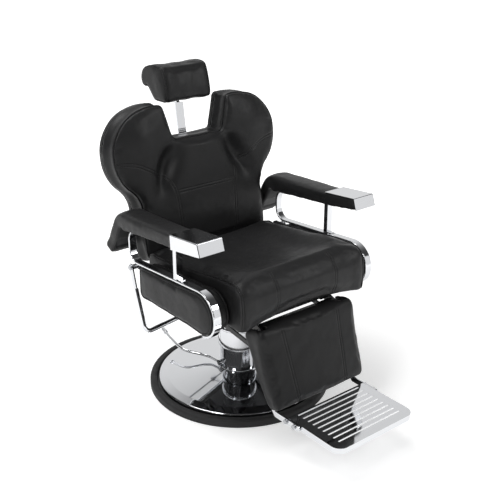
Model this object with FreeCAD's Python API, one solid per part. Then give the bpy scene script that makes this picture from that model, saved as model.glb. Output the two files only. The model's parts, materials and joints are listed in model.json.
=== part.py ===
import FreeCAD, Part
import math
import os
from FreeCAD import Vector

# Hydraulic barber chair, in millimetres. +Z is up, the sitter faces -Y and the sitter's left is +X.
# The origin is on the floor under the centre of the round base, on the swivel axis.

# Clearances
RUNNING = 0.05
SIDE_GAP = 0.3
SWING_GAP = 2.0
PANEL_GAP = 1.0
SEAT_BACK_GAP = 3.0

# Base
BASE_RADIUS = 330.0
RING_WIDTH = 27.0
RING_HEIGHT = 30.0
RING_ROUND = 10.0
BASE_PLATE_THICK = 14.0
DOME_WALL = 3.0
DOME_RING_GAP = 6.0
DOME_LIP_RADIUS = BASE_RADIUS - RING_WIDTH - DOME_RING_GAP
DOME_LIP_ROUND = 16.0
DOME_LIP_RUN = 35.0
DOME_EDGE_RADIUS = DOME_LIP_RADIUS - DOME_LIP_RUN
DOME_EDGE_TOP = 42.0
DOME_TOP = 74.0
COLLAR_WIDTH = 13.0
COLLAR_HEIGHT = 5.0

# Column and pump
SLEEVE_RADIUS = 70.0
SLEEVE_WALL = 3.0
SLEEVE_TOP = 246.0
RESERVOIR_RADIUS = 46.0
RESERVOIR_WALL = 3.0
CYLINDER_BORE = 30.0
CYLINDER_WALL = 4.0
CYLINDER_FLOOR = 10.0
GLAND_BOTTOM = 207.0
GLAND_HEIGHT = 18.0
RAM_RADIUS = 25.0
PISTON_BOTTOM = 84.0
PISTON_HEIGHT = 16.0
UPPER_SLEEVE_RADIUS = 77.0
UPPER_SLEEVE_WALL = 4.0
UPPER_SLEEVE_BOTTOM = 157.0
TRIM_RING_BOTTOM = 228.0
TRIM_RING_HEIGHT = 8.0
TRIM_RING_WIDTH = 5.0
HEAD_BOTTOM = 300.0
HEAD_THICK = 13.0
SPIGOT_RADIUS = 15.0
NUT_RADIUS = 24.0
NUT_HEIGHT = 16.0

# Pump lever
LEVER_AXIS_Y = 14.0
LEVER_AXIS_Z = 90.0
LEVER_SHAFT_RADIUS = 5.0
LEVER_HUB_RADIUS = 10.0
LEVER_HUB_LENGTH = 12.0
LEVER_ROD_RADIUS = 5.5
LEVER_TIP_RADIUS = 9.0
LEVER_TIP_LENGTH = 34.0
BUSHING_WALL = 4.0
PLUNGER_X = -48.0
PLUNGER_Y = 32.0
PLUNGER_RADIUS = 5.0
PLUNGER_GUIDE_RADIUS = 9.0
PLUNGER_GUIDE_TOP = 62.0
PLUNGER_HEAD_HEIGHT = 5.0
SPRING_RADIUS = 8.0
SPRING_WIRE = 1.5

# Chassis and seat frame
CHASSIS_HALF_WIDTH = 95.0
CHASSIS_HALF_LENGTH = 110.0
CHASSIS_PLATE = 6.0
CHASSIS_TOP_THICK = 8.0
CHASSIS_FLANGE = 30.0
CHASSIS_BOLT_X = 115.0
BOLT_RADIUS = 4.0
TUBE_SIZE = 26.0
TUBE_WALL = 3.0
FRAME_BOTTOM = 388.0
FRAME_TOP = 413.0
RAIL_INNER_X = 137.0
RAIL_FRONT_Y = -280.0
RAIL_REAR_Y = 190.0
CROSS_TUBE_Y = 80.0
EAR_THICK = 6.0
PIVOT_RADIUS = 6.0
LINK_PIN_RADIUS = 5.0
OPEN_PIVOT_GAP = 0.5
LINK_HALF_HEIGHT = 8.0

# Seat cushion
SEAT_HALF_WIDTH = 266.0
SEAT_BOTTOM = 415.0
SEAT_REAR_Y = 171.0
SEAT_FRONT_Y = -361.0
SEAT_FRONT_ARCH = 22.0
SEAT_BOARD_THICK = 12.0
SEAT_BOARD_HALF_WIDTH = 236.0
SEAT_BOARD_FRONT_Y = -310.0
SEAT_BOARD_REAR_Y = 160.0

# Side panels
BOARD_INNER_X = 304.0
BOARD_THICK = 10.0
INNER_PANEL_X = 272.0
OUTER_PANEL_X = 348.0
PANEL_REAR_Y = 108.0
PANEL_REAR_ROUND = 22.0
INNER_PANEL_FRONT_Y = -304.0

# Arms
STRAP_WIDTH = 28.0
STRAP_THICK = 8.0
STRAP_ROUND = 2.5
STRAP_CENTRE_X = 328.5
STRAP_REAR_Y = 168.0
STRAP_FRONT_Y = -313.0
STRAP_END_Y = -262.0
STRAP_BOTTOM_Z = 394.0
RAIL_Z_AT_REAR = 513.7
RAIL_RISE = 0.07
ARM_UNDERSIDE_FRONT_Y = -140.0
ARM_UNDERSIDE_FRONT_Z = 663.0
ARM_UNDERSIDE_FALL = 0.0905
PAD_INNER_X = 280.0
PAD_OUTER_X = 374.0
CAP_WALL = 2.0
POST_Y = -105.0
POST_LENGTH = 18.0
POST_WIDTH = 23.0
TAIL_PLATE_THICK = 4.0
TAIL_PLATE_HALF_WIDTH = 31.0
TAIL_PLATE_LENGTH = 62.0
STRAP_TAB_LENGTH = 34.0
STRAP_TAB_DROP = 26.0
STRAP_TAB_THICK = 3.0
STRAP_TAB_PLACES = (-200.0, 40.0)

# Back
BACK_LEAN = 8.0
BACK_FOOT_Y = 175.6
BACK_FOOT_Z = 470.0
BACK_THICK = 80.0
BACK_BOARD_THICK = 16.0
BACK_BOARD_INSET = -2.0
BACK_CROWN = 28.0
BACK_ABOVE_SEAT = 530.0
EAR_ROOM_RADIUS = 19.0
HOLLOW_X = 152.0
HOLLOW_HEIGHT = 336.0
HOLLOW_DEPTH = 15.0
HOLLOW_TURN = 27.0
HOLLOW_HALF_WIDTH = 62.0
HOLLOW_HALF_LENGTH = 125.0
HOLLOW_HALF_THICK = 60.0
BACK_PIVOT_Y = 225.0
BACK_PIVOT_Z = 450.0
LINK_PIN_DY = 30.0
LINK_PIN_DZ = -50.0
CYLINDER_PIN_ARM = 90.0
RECLINE_LIMIT = 50.0

# Headrest
BAR_HALF_WIDTH = 17.0
BAR_THICK = 8.0
BAR_CENTRE_DEPTH = 97.0
BAR_BOTTOM = 290.0
BAR_TOP = 531.0
SOCKET_HALF_WIDTH = 27.0
SOCKET_BOTTOM = 300.0
SOCKET_TOP = 390.0
SOCKET_WALL = 7.0
KNOB_RADIUS = 16.0
KNOB_LENGTH = 16.0
KNOB_HEIGHT_ON_BACK = 345.0
HEADREST_HALF_WIDTH = 98.0
HEADREST_PLATE_HALF_WIDTH = 90.0
HEADREST_PLATE_THICK = 4.0
HEADREST_RIM_THICK = 9.0
HEADREST_RIM_INNER_X = 30.0
HEADREST_RIM_REACH = 0.8
TILT_PIN_RADIUS = 5.0
TILT_PIN_Y = 375.0
TILT_PIN_Z = 996.6

# Leg rest and foot plate
LEG_PIVOT_Y = -335.0
LEG_PIVOT_Z = 376.0
LEG_TOP_Y = -371.0
LEG_TOP_Z = 393.0
LEG_LEAN = 17.7
LEG_TOP_HALF_WIDTH = 208.0
LEG_LENGTH = 256.0
LEG_BOARD_THICK = 12.0
LEG_BOARD_TOP_DOWN = 24.0
LEG_BOARD_TOP_OUT = -78.0
LEG_BOARD_FOOT_DOWN = 236.0
LEG_BOARD_FOOT_OUT = -45.0
LEG_LEVER_HEAD_DOWN = 60.0
LEG_LEVER_FOOT_DOWN = 170.0
LEG_LEVER_FOOT_WIDTH = 22.0
LEG_SLOT_AHEAD = 17.0
LEG_SLOT_BEHIND = 80.0
LEG_SLOT_ABOVE = 60.0
LEG_SLOT_BELOW = 52.0
LEG_SLOT_REAR_BELOW = 75.0
FOOT_LINK_X = 172.0
FOOT_LINK_THICK = 6.0
LEG_BOARD_MARGIN = 2.0
LEG_BOARD_HALF_WIDTH = FOOT_LINK_X + FOOT_LINK_THICK + LEG_BOARD_MARGIN
FOOT_LINK_TOP = 134.0
FOOT_LINK_HEIGHT = 20.0
FOOT_LINK_END_Y = -529.0
FOOT_LINK_HEEL_Y = -412.0
FOOT_LINK_TAB_DOWN = 180.0
FOOT_LINK_TAB_WIDTH = 18.0
FOOT_FIXING_Y = -467.0
FOOT_PIVOT_Y = -506.0
FOOT_PLATE_HALF_WIDTH = 170.0
FOOT_PLATE_REAR_Y = -468.0
FOOT_PLATE_FRONT_Y = -700.0
FOOT_PLATE_TOP = 135.0
FOOT_PLATE_RIM = 20.0
FOOT_PLATE_WALL = 3.0
FOOT_PLATE_CORNER = 35.0
SLOT_COUNT = 9
SLOT_PITCH = 22.9
SLOT_WIDTH = 6.0
SLOT_HALF_LENGTH = 133.0
SLOT_FIRST_Y = -479.0

# Recline handle and cylinder
HANDLE_PIVOT_Y = 157.0
HANDLE_PIVOT_Z = 492.0
HANDLE_PLATE_X = 342.5
HANDLE_PLATE_THICK = 5.0
HANDLE_ROD_RADIUS = 8.5
HANDLE_CORNER_Y = 82.0
HANDLE_BAR_Z = 272.0
HANDLE_BOW_Y = 112.0
RECLINE_CYLINDER_RADIUS = 14.0
RECLINE_CYLINDER_BORE = 11.0
RECLINE_CYLINDER_FRONT_Y = -60.0
RECLINE_CYLINDER_REAR_Y = 165.0
RECLINE_ROD_RADIUS = 5.0

# Places that follow from the sizes above
BOARD_OUTER_X = BOARD_INNER_X + BOARD_THICK
RAIL_OUTER_X = RAIL_INNER_X + TUBE_SIZE
LEVER_INNER_X = RAIL_OUTER_X + EAR_THICK + SWING_GAP
LEVER_OUTER_X = LEVER_INNER_X + EAR_THICK
LINK_INNER_X = LEVER_OUTER_X + SWING_GAP + 1
LINK_OUTER_X = LINK_INNER_X + EAR_THICK
CHASSIS_BOTTOM = HEAD_BOTTOM + HEAD_THICK + SIDE_GAP
HALF_SWING = math.radians(RECLINE_LIMIT / 2)
CYLINDER_PIN_Y = BACK_PIVOT_Y + CYLINDER_PIN_ARM * math.sin(HALF_SWING)
CYLINDER_PIN_Z = BACK_PIVOT_Z - CYLINDER_PIN_ARM * math.cos(HALF_SWING)
CYLINDER_PIN_DIP = CYLINDER_PIN_ARM * (1 - math.cos(HALF_SWING))
CYLINDER_AXIS_Z = CYLINDER_PIN_Z - CYLINDER_PIN_DIP / 2
FOOT_PIVOT_Z = FOOT_LINK_TOP - FOOT_LINK_HEIGHT / 2
SHAFT_END_X = -(SLEEVE_RADIUS + 2)

# Outlines, stations and paths
HUB_INNER_X = SHAFT_END_X - SIDE_GAP
HUB_OUTER_X = HUB_INNER_X - LEVER_HUB_LENGTH
LEVER_PATH = [(HUB_INNER_X - LEVER_HUB_LENGTH / 2, LEVER_AXIS_Y + 4, LEVER_AXIS_Z, 0),
              (HUB_INNER_X - LEVER_HUB_LENGTH / 2, 74, 86, 40), (-91, 108, 86, 60),
              (-133, 168, 92, 90), (-131, 216, 95, 120), (-123, 272, 98, 200), (-112, 326, 101, 0)]
PLUNGER_TOP = LEVER_AXIS_Z - 3 - SIDE_GAP
NUT_BOTTOM = CHASSIS_BOTTOM + CHASSIS_TOP_THICK + SIDE_GAP
BOARD_BOTTOM = FRAME_TOP
# Station across the seat: share of its half-width, top of the roll, three heights of the hollow.
SEAT_STATIONS = [(1.0, 566, 548, 530, 512), (0.955, 573, 557, 543, 518), (0.82, 579, 565, 551, 522),
                 (0.57, 579, 549, 537, 517), (0.30, 579, 541, 529, 514), (0.0, 579, 538, 526, 513)]
STRAP_TOP_ROUND = 45.0
STRAP_FOOT_ROUND = 42.0
STRAP_NOSE_ROUND = 78.0
STRAP_CHIN_ROUND = 66.0
OUTER_PANEL_STEPS = [(0.0, 0), (0.35, 1.6), (0.75, 1.0), (0.9, 7), (1.0, 26)]
# Ends of the arm pad, seen from the side.
PAD_FRONT_TOP = (-276.0, 721.0)
PAD_FRONT_FOOT = (-289.0, 681.0)
PAD_STEP_TOP = (-134.0, 708.5)
PAD_FALL = math.radians(2.5)
PAD_TURN = math.radians(58.0)
PAD_BEND_RADIUS = 70.0
PAD_STRAIGHT = 292.0
PAD_TAIL = 126.0
PAD_STRAIGHT_STEPS = 12
PAD_OVER_STRAP = 3.0
PAD_THICK_TAIL = 46.0
LEAN = math.radians(BACK_LEAN)
# Half outline of the back, from the middle of its foot round the wing to the middle of the notch;
# every second point is the middle of an arc.
BACK_OUTLINE = [(0, 0), (112, 1), (226, 3), (252, 11), (264, 36), (266, 113), (265, 190), (275, 235),
                (303, 272), (338, 322), (351, 388), (344, 440), (320, 484), (284, 519), (237, 540),
                (197, 548), (157, 548), (141, 544), (134, 530), (119, 478), (107, 440), (102, 428),
                (90, 423), (45, 421), (0, 420)]
# Steps through the cushion: share of its depth behind the piping, or of its crown in front; inset.
BACK_STEPS = [(1.0, -3), (0.62, 0.5), (0.25, 1.5), (0.0, 0), (-0.3, 3), (-0.65, 8), (-1.0, 13)]
BACK_CROWN_RADIUS = 3000.0
BACK_CROWN_HEIGHT = 300.0
CROSSBAR_RADIUS = 6.0
KNOB_STEM_RADIUS = 5.0
# Side outline of the headrest pad, every second point the middle of an arc.
HEADREST_FACE_FOOT = (359.0, 1003.0)
HEADREST_FACE_TOP = (401.0, 1049.0)
HEADREST_OUTLINE = [(292, 1000), (322, 1000), (350, 1000), (355, 1001), HEADREST_FACE_FOOT,
                    (380, 1026), HEADREST_FACE_TOP, (422, 1041), (437, 1052), (439, 1078), (414, 1109),
                    (364, 1123), (315, 1124), (305, 1121), (301, 1113), (285, 1068), (277, 1025),
                    (280, 1006)]
HEADREST_STEPS = [(-1.0, 6), (-0.93, 1.2), (-0.5, 0.6), (0.0, 0), (0.5, 0.6), (0.93, 1.2), (1.0, 6)]
LEG_TILT = math.radians(LEG_LEAN)
# Stations down the leg rest: place, front face, rear face, half-width less.
LEG_STATIONS = [(-27, -24, -62, 22), (-20, -10, -76, 9), (-7, -2, -84, 2), (20, 0, -81, 0),
                (120, 0, -68, 3), (220, 0, -51, 8), (243, -2, -46, 12), (LEG_LENGTH, -11, -38, 20)]
LEG_SLOT_INNER_X = RAIL_OUTER_X - 5
LEG_SLOT_OUTER_X = LINK_OUTER_X + 4


# General shapes

def box(x0, x1, y0, y1, z0, z1):
    """A block between two corners."""
    return Part.makeBox(x1 - x0, y1 - y0, z1 - z0, Vector(x0, y0, z0))


def disc(radius, z0, z1, x=0.0, y=0.0):
    """An upright cylinder."""
    return Part.makeCylinder(radius, z1 - z0, Vector(x, y, z0))


def ring(outer, inner, z0, z1, x=0.0, y=0.0):
    """An upright tube."""
    return disc(outer, z0, z1, x, y).cut(disc(inner, z0, z1, x, y))


def cross_pin(radius, x0, x1, y, z):
    """A cylinder along X."""
    return Part.makeCylinder(radius, x1 - x0, Vector(x0, y, z), Vector(1, 0, 0))


def mirrored(shape):
    """The same piece on the sitter's right."""
    return shape.mirror(Vector(0, 0, 0), Vector(1, 0, 0))


def both_sides(shape):
    """A left piece and its mirror image, as separate solids."""
    return Part.makeCompound([shape, mirrored(shape)])


def rounded_edges(corners, closed):
    """Lines and tangent arcs through corners, each a (point, radius)."""
    count = len(corners)
    edges = []
    leave = []
    for i in range(count):
        point, radius = corners[i]
        if radius == 0 or (not closed and i in (0, count - 1)):
            leave.append((point, None, point))
            continue
        before = (corners[i - 1][0] - point).normalize()
        after = (corners[(i + 1) % count][0] - point).normalize()
        half = before.getAngle(after) / 2
        reach = radius / math.tan(half)
        middle = (before + after).normalize()
        top = point + middle * (radius / math.sin(half) - radius)
        leave.append((point + before * reach, top, point + after * reach))
    for i in range(count):
        start, top, end = leave[i]
        if top is not None:
            edges.append(Part.Arc(start, top, end).toShape())
        if closed or i < count - 1:
            edges.append(Part.makeLine(end, leave[(i + 1) % count][0]))
    return edges


def rounded_wire(corners, closed=True):
    """One wire of lines and tangent arcs."""
    return Part.Wire(rounded_edges(corners, closed))


def side_plate(points, x0, x1, radius=0.0):
    """A plate seen from the side: (y, z) corners, thick from x0 to x1."""
    corners = []
    for point in points:
        corner_radius = point[2] if len(point) > 2 else radius
        corners.append((Vector(x0, point[0], point[1]), corner_radius))
    face = Part.Face(rounded_wire(corners))
    return face.extrude(Vector(x1 - x0, 0, 0))


def swept(path, profile):
    """A profile carried along a wire of lines and tangent arcs."""
    return path.makePipeShell([profile], True, False)


def round_rod(corners, radius):
    """A bent rod through (point, bend radius) corners."""
    path = rounded_wire(corners, False)
    start = corners[0][0]
    along = corners[1][0] - start
    profile = Part.Wire(Part.makeCircle(radius, start, along))
    return swept(path, profile)


def turned(points):
    """A solid turned about Z from an (r, z) outline; a third number rounds that corner."""
    corners = []
    for point in points:
        radius = point[2] if len(point) > 2 else 0.0
        corners.append((Vector(point[0], 0, point[1]), radius))
    face = Part.Face(rounded_wire(corners))
    return face.revolve(Vector(0, 0, 0), Vector(0, 0, 1), 360)


def bow(start, middle, end):
    """An arc through three points, or a line where they are in line."""
    bend = (middle - start).cross(end - start).Length
    if bend < 0.01 * (end - start).Length:
        return Part.makeLine(start, end)
    return Part.Arc(start, middle, end).toShape()


def bowed_wire(points):
    """A closed wire of arcs: every second point is the middle of an arc."""
    count = len(points)
    edges = []
    for i in range(0, count, 2):
        edges.append(bow(points[i], points[i + 1], points[(i + 2) % count]))
    return Part.Wire(edges)


def inset_outline(points, inset):
    """Flat (a, b) points moved inwards; they run anticlockwise."""
    moved = []
    count = len(points)
    for i in range(count):
        before = points[i - 1]
        after = points[(i + 1) % count]
        da = after[0] - before[0]
        db = after[1] - before[1]
        length = math.hypot(da, db)
        moved.append((points[i][0] - inset * db / length, points[i][1] + inset * da / length))
    return moved


def smooth_loft(wires):
    """A closed body through its sections."""
    return Part.makeLoft(wires, True, False)


# Base

def base_plate():
    return disc(BASE_RADIUS - RING_WIDTH, 0, BASE_PLATE_THICK)


def base_ring():
    inner = BASE_RADIUS - RING_WIDTH
    corners = [(inner, 0), (BASE_RADIUS, 0, 3), (BASE_RADIUS, RING_HEIGHT, RING_ROUND),
               (inner, RING_HEIGHT, RING_ROUND)]
    return turned(corners)


def dome_height(radius):
    """Height of the dome's outer face on its straight cone."""
    share = (radius - SLEEVE_RADIUS) / (DOME_EDGE_RADIUS + DOME_WALL - SLEEVE_RADIUS)
    return DOME_TOP + share * (DOME_EDGE_TOP - DOME_TOP)


def base_dome():
    wall = DOME_WALL
    corners = [(SLEEVE_RADIUS, DOME_TOP), (SLEEVE_RADIUS, DOME_TOP - wall),
               (DOME_EDGE_RADIUS, DOME_EDGE_TOP - wall, DOME_LIP_ROUND),
               (DOME_LIP_RADIUS - wall, RING_HEIGHT, 4), (DOME_LIP_RADIUS - wall, BASE_PLATE_THICK),
               (DOME_LIP_RADIUS, BASE_PLATE_THICK), (DOME_LIP_RADIUS, RING_HEIGHT + wall, 6),
               (DOME_EDGE_RADIUS + wall, DOME_EDGE_TOP, DOME_LIP_ROUND)]
    return turned(corners)


def foot_collar():
    outer = SLEEVE_RADIUS + COLLAR_WIDTH
    slope = dome_height(SLEEVE_RADIUS) - dome_height(outer)
    corners = [(SLEEVE_RADIUS, DOME_TOP), (outer, DOME_TOP - slope),
               (outer, DOME_TOP + COLLAR_HEIGHT - 1, 2), (SLEEVE_RADIUS, DOME_TOP + COLLAR_HEIGHT)]
    return turned(corners)


def lower_sleeve():
    sleeve = ring(SLEEVE_RADIUS, SLEEVE_RADIUS - SLEEVE_WALL, BASE_PLATE_THICK, SLEEVE_TOP)
    hole = cross_pin(LEVER_SHAFT_RADIUS + BUSHING_WALL, SHAFT_END_X - 5, -RESERVOIR_RADIUS,
                     LEVER_AXIS_Y, LEVER_AXIS_Z)
    return sleeve.cut(hole)


def oil_reservoir():
    inside = RESERVOIR_RADIUS - RESERVOIR_WALL
    can = disc(RESERVOIR_RADIUS, BASE_PLATE_THICK, GLAND_BOTTOM)
    return can.cut(disc(inside, BASE_PLATE_THICK + RESERVOIR_WALL, GLAND_BOTTOM))


def cylinder_tube():
    floor = BASE_PLATE_THICK + RESERVOIR_WALL
    tube = disc(CYLINDER_BORE + CYLINDER_WALL, floor, GLAND_BOTTOM)
    return tube.cut(disc(CYLINDER_BORE, floor + CYLINDER_FLOOR, GLAND_BOTTOM))


def ram_gland():
    gland_top = GLAND_BOTTOM + GLAND_HEIGHT
    corners = [(RAM_RADIUS + RUNNING, GLAND_BOTTOM), (RESERVOIR_RADIUS, GLAND_BOTTOM),
               (RESERVOIR_RADIUS, gland_top - 6), (RAM_RADIUS + 9, gland_top - 6),
               (RAM_RADIUS + 7, gland_top, 2), (RAM_RADIUS + RUNNING, gland_top)]
    return turned(corners)


def plunger_guide():
    return ring(PLUNGER_GUIDE_RADIUS, PLUNGER_RADIUS + RUNNING, BASE_PLATE_THICK, PLUNGER_GUIDE_TOP,
                PLUNGER_X, PLUNGER_Y)


def lever_bushing():
    outer = cross_pin(LEVER_SHAFT_RADIUS + BUSHING_WALL, SHAFT_END_X, -RESERVOIR_RADIUS - 14,
                      LEVER_AXIS_Y, LEVER_AXIS_Z)
    bore = cross_pin(LEVER_SHAFT_RADIUS + RUNNING, SHAFT_END_X, -RESERVOIR_RADIUS - 14,
                     LEVER_AXIS_Y, LEVER_AXIS_Z)
    return outer.cut(bore)


# Pump lever


def pump_lever():
    corners = []
    for x, y, z, radius in LEVER_PATH:
        corners.append((Vector(x, y, z), radius))
    lever = round_rod(corners, LEVER_ROD_RADIUS)
    hub = cross_pin(LEVER_HUB_RADIUS, HUB_OUTER_X, HUB_INNER_X, LEVER_AXIS_Y, LEVER_AXIS_Z)
    bore = cross_pin(LEVER_SHAFT_RADIUS, HUB_OUTER_X, HUB_INNER_X, LEVER_AXIS_Y, LEVER_AXIS_Z)
    return lever.fuse(hub).cut(bore)


def lever_shaft():
    inner_x = -RESERVOIR_RADIUS - 1
    shaft = cross_pin(LEVER_SHAFT_RADIUS, HUB_OUTER_X, inner_x, LEVER_AXIS_Y, LEVER_AXIS_Z)
    arm = box(inner_x - 8, inner_x, LEVER_AXIS_Y, PLUNGER_Y + 4, LEVER_AXIS_Z - 3, LEVER_AXIS_Z + 3)
    return shaft.fuse(arm)


def lever_end(index):
    return Vector(*LEVER_PATH[index][:3])


def lever_tip():
    along = (lever_end(-1) - lever_end(-2)).normalize()
    start = lever_end(-1) - along * (LEVER_TIP_LENGTH / 2)
    grip = Part.makeCylinder(LEVER_TIP_RADIUS, LEVER_TIP_LENGTH, start, along)
    grip = grip.makeFillet(LEVER_TIP_RADIUS / 2, grip.Edges)
    rod_end = Part.makeCylinder(LEVER_ROD_RADIUS, LEVER_TIP_LENGTH / 2, start, along)
    return grip.cut(rod_end)


def pump_plunger():
    stem = disc(PLUNGER_RADIUS, PLUNGER_GUIDE_TOP - 18, PLUNGER_TOP, PLUNGER_X, PLUNGER_Y)
    head = disc(SPRING_RADIUS, PLUNGER_TOP - PLUNGER_HEAD_HEIGHT, PLUNGER_TOP, PLUNGER_X, PLUNGER_Y)
    return stem.fuse(head)


def plunger_spring():
    return ring(SPRING_RADIUS, SPRING_RADIUS - SPRING_WIRE, PLUNGER_GUIDE_TOP,
                PLUNGER_TOP - PLUNGER_HEAD_HEIGHT, PLUNGER_X, PLUNGER_Y)


# Lift

def ram():
    return disc(RAM_RADIUS, PISTON_BOTTOM + PISTON_HEIGHT, HEAD_BOTTOM)


def ram_piston():
    return disc(CYLINDER_BORE - RUNNING, PISTON_BOTTOM, PISTON_BOTTOM + PISTON_HEIGHT)


def upper_sleeve():
    return ring(UPPER_SLEEVE_RADIUS, UPPER_SLEEVE_RADIUS - UPPER_SLEEVE_WALL,
                UPPER_SLEEVE_BOTTOM, HEAD_BOTTOM)


def sleeve_trim_ring():
    outer = UPPER_SLEEVE_RADIUS + TRIM_RING_WIDTH
    top = TRIM_RING_BOTTOM + TRIM_RING_HEIGHT
    corners = [(UPPER_SLEEVE_RADIUS, TRIM_RING_BOTTOM), (outer, TRIM_RING_BOTTOM, 2), (outer, top, 2),
               (UPPER_SLEEVE_RADIUS, top)]
    return turned(corners)


def swivel_head():
    head = disc(UPPER_SLEEVE_RADIUS + 2, HEAD_BOTTOM, HEAD_BOTTOM + HEAD_THICK)
    spigot = disc(SPIGOT_RADIUS, HEAD_BOTTOM + HEAD_THICK, NUT_BOTTOM + NUT_HEIGHT)
    return head.fuse(spigot)


def swivel_nut():
    corners = []
    for i in range(6):
        turn = math.radians(60 * i)
        corners.append((Vector(NUT_RADIUS * math.cos(turn), NUT_RADIUS * math.sin(turn), NUT_BOTTOM), 0))
    nut = Part.Face(rounded_wire(corners)).extrude(Vector(0, 0, NUT_HEIGHT))
    return nut.cut(disc(SPIGOT_RADIUS, NUT_BOTTOM, NUT_BOTTOM + NUT_HEIGHT))


# Chassis and seat frame

def chassis_bolt_places():
    places = []
    for x in (-CHASSIS_BOLT_X, CHASSIS_BOLT_X):
        for y in (-CROSS_TUBE_Y, CROSS_TUBE_Y):
            places.append((x, y))
    return places


def drilled(shape, radius, z0, z1):
    for x, y in chassis_bolt_places():
        shape = shape.cut(disc(radius, z0, z1, x, y))
    return shape


def chassis_top():
    plate = box(-CHASSIS_HALF_WIDTH, CHASSIS_HALF_WIDTH, -CHASSIS_HALF_LENGTH, CHASSIS_HALF_LENGTH,
                CHASSIS_BOTTOM, CHASSIS_BOTTOM + CHASSIS_TOP_THICK)
    return plate.cut(disc(SPIGOT_RADIUS + RUNNING, CHASSIS_BOTTOM, FRAME_BOTTOM))


def chassis_sides():
    x0 = CHASSIS_HALF_WIDTH
    x1 = CHASSIS_HALF_WIDTH + CHASSIS_PLATE
    web = box(x0, x1, -CHASSIS_HALF_LENGTH, CHASSIS_HALF_LENGTH, CHASSIS_BOTTOM, FRAME_BOTTOM)
    flange = box(x1, x1 + CHASSIS_FLANGE, -CHASSIS_HALF_LENGTH, CHASSIS_HALF_LENGTH,
                 FRAME_BOTTOM - CHASSIS_PLATE, FRAME_BOTTOM)
    return both_sides(drilled(web.fuse(flange), BOLT_RADIUS, FRAME_BOTTOM - 10, FRAME_BOTTOM))


def square_tube(x0, x1, y0, y1, along_x):
    outer = box(x0, x1, y0, y1, FRAME_BOTTOM, FRAME_TOP)
    wall = TUBE_WALL
    if along_x:
        return outer.cut(box(x0, x1, y0 + wall, y1 - wall, FRAME_BOTTOM + wall, FRAME_TOP - wall))
    return outer.cut(box(x0 + wall, x1 - wall, y0, y1, FRAME_BOTTOM + wall, FRAME_TOP - wall))


def cross_tubes():
    half = TUBE_SIZE / 2
    tubes = []
    for y in (-CROSS_TUBE_Y, CROSS_TUBE_Y):
        tube = square_tube(-BOARD_INNER_X, BOARD_INNER_X, y - half, y + half, True)
        tubes.append(drilled(tube, BOLT_RADIUS, FRAME_BOTTOM, FRAME_TOP))
    return Part.makeCompound(tubes)


def seat_rails():
    half = TUBE_SIZE / 2
    spans = [(RAIL_FRONT_Y, -CROSS_TUBE_Y - half), (-CROSS_TUBE_Y + half, CROSS_TUBE_Y - half),
             (CROSS_TUBE_Y + half, RAIL_REAR_Y)]
    pieces = []
    for y0, y1 in spans:
        rail = square_tube(RAIL_INNER_X, RAIL_OUTER_X, y0, y1, False)
        pieces.append(rail)
        pieces.append(mirrored(rail))
    return Part.makeCompound(pieces)


def frame_bolts():
    pieces = []
    for x, y in chassis_bolt_places():
        shank = disc(BOLT_RADIUS, FRAME_BOTTOM - CHASSIS_PLATE, FRAME_TOP, x, y)
        head = disc(BOLT_RADIUS * 1.8, FRAME_BOTTOM - CHASSIS_PLATE - 5, FRAME_BOTTOM - CHASSIS_PLATE, x, y)
        pieces.append(shank.fuse(head))
    for y, z in ((BACK_PIVOT_Y, BACK_PIVOT_Z), (LEG_PIVOT_Y, LEG_PIVOT_Z)):
        shank = cross_pin(PIVOT_RADIUS, RAIL_OUTER_X, LEVER_OUTER_X + 1, y, z)
        head = cross_pin(PIVOT_RADIUS * 1.6, RAIL_OUTER_X - 4, RAIL_OUTER_X, y, z)
        pieces.append(shank.fuse(head))
        pieces.append(mirrored(shank.fuse(head)))
    pin = cross_pin(BOLT_RADIUS, -18, 18, RECLINE_CYLINDER_FRONT_Y - 12, CYLINDER_AXIS_Z)
    pieces.append(pin)
    return Part.makeCompound(pieces)


def hinge_brackets():
    x0 = RAIL_OUTER_X
    x1 = RAIL_OUTER_X + EAR_THICK
    back_y = BACK_PIVOT_Y
    back_z = BACK_PIVOT_Z
    back_ear = side_plate([(110, FRAME_BOTTOM), (RAIL_REAR_Y + 4, FRAME_BOTTOM, 8),
                           (back_y + 15, back_z - 8, 10), (back_y + 13, back_z + 13, 12),
                           (back_y - 13, back_z + 8, 12), (SEAT_REAR_Y + 8, FRAME_TOP - 1, 3),
                           (110, FRAME_TOP - 1)], x0, x1)
    back_ear = back_ear.cut(cross_pin(PIVOT_RADIUS, x0, x1, back_y, back_z))
    leg_y = LEG_PIVOT_Y
    leg_z = LEG_PIVOT_Z
    leg_ear = side_plate([(leg_y - 12, leg_z + 10, 11), (leg_y - 12, leg_z - 12, 11),
                          (leg_y + 16, leg_z - 12, 6), (-240, FRAME_BOTTOM), (-200, FRAME_BOTTOM),
                          (-200, FRAME_TOP - 1), (RAIL_FRONT_Y + 5, FRAME_TOP - 1, 4)], x0, x1)
    leg_ear = leg_ear.cut(cross_pin(PIVOT_RADIUS, x0, x1, leg_y, leg_z))
    lug_y = RECLINE_CYLINDER_FRONT_Y - 12
    lug = side_plate([(lug_y - 10, CYLINDER_AXIS_Z - 10, 8), (lug_y + 10, CYLINDER_AXIS_Z - 10, 8),
                      (lug_y + 10, FRAME_BOTTOM), (lug_y - 14, FRAME_BOTTOM)], 9, 14)
    lug = lug.cut(cross_pin(BOLT_RADIUS, 9, 14, lug_y, CYLINDER_AXIS_Z))
    shapes = []
    for shape in (back_ear, leg_ear, lug):
        shapes.append(shape)
        shapes.append(mirrored(shape))
    return Part.makeCompound(shapes)


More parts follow.
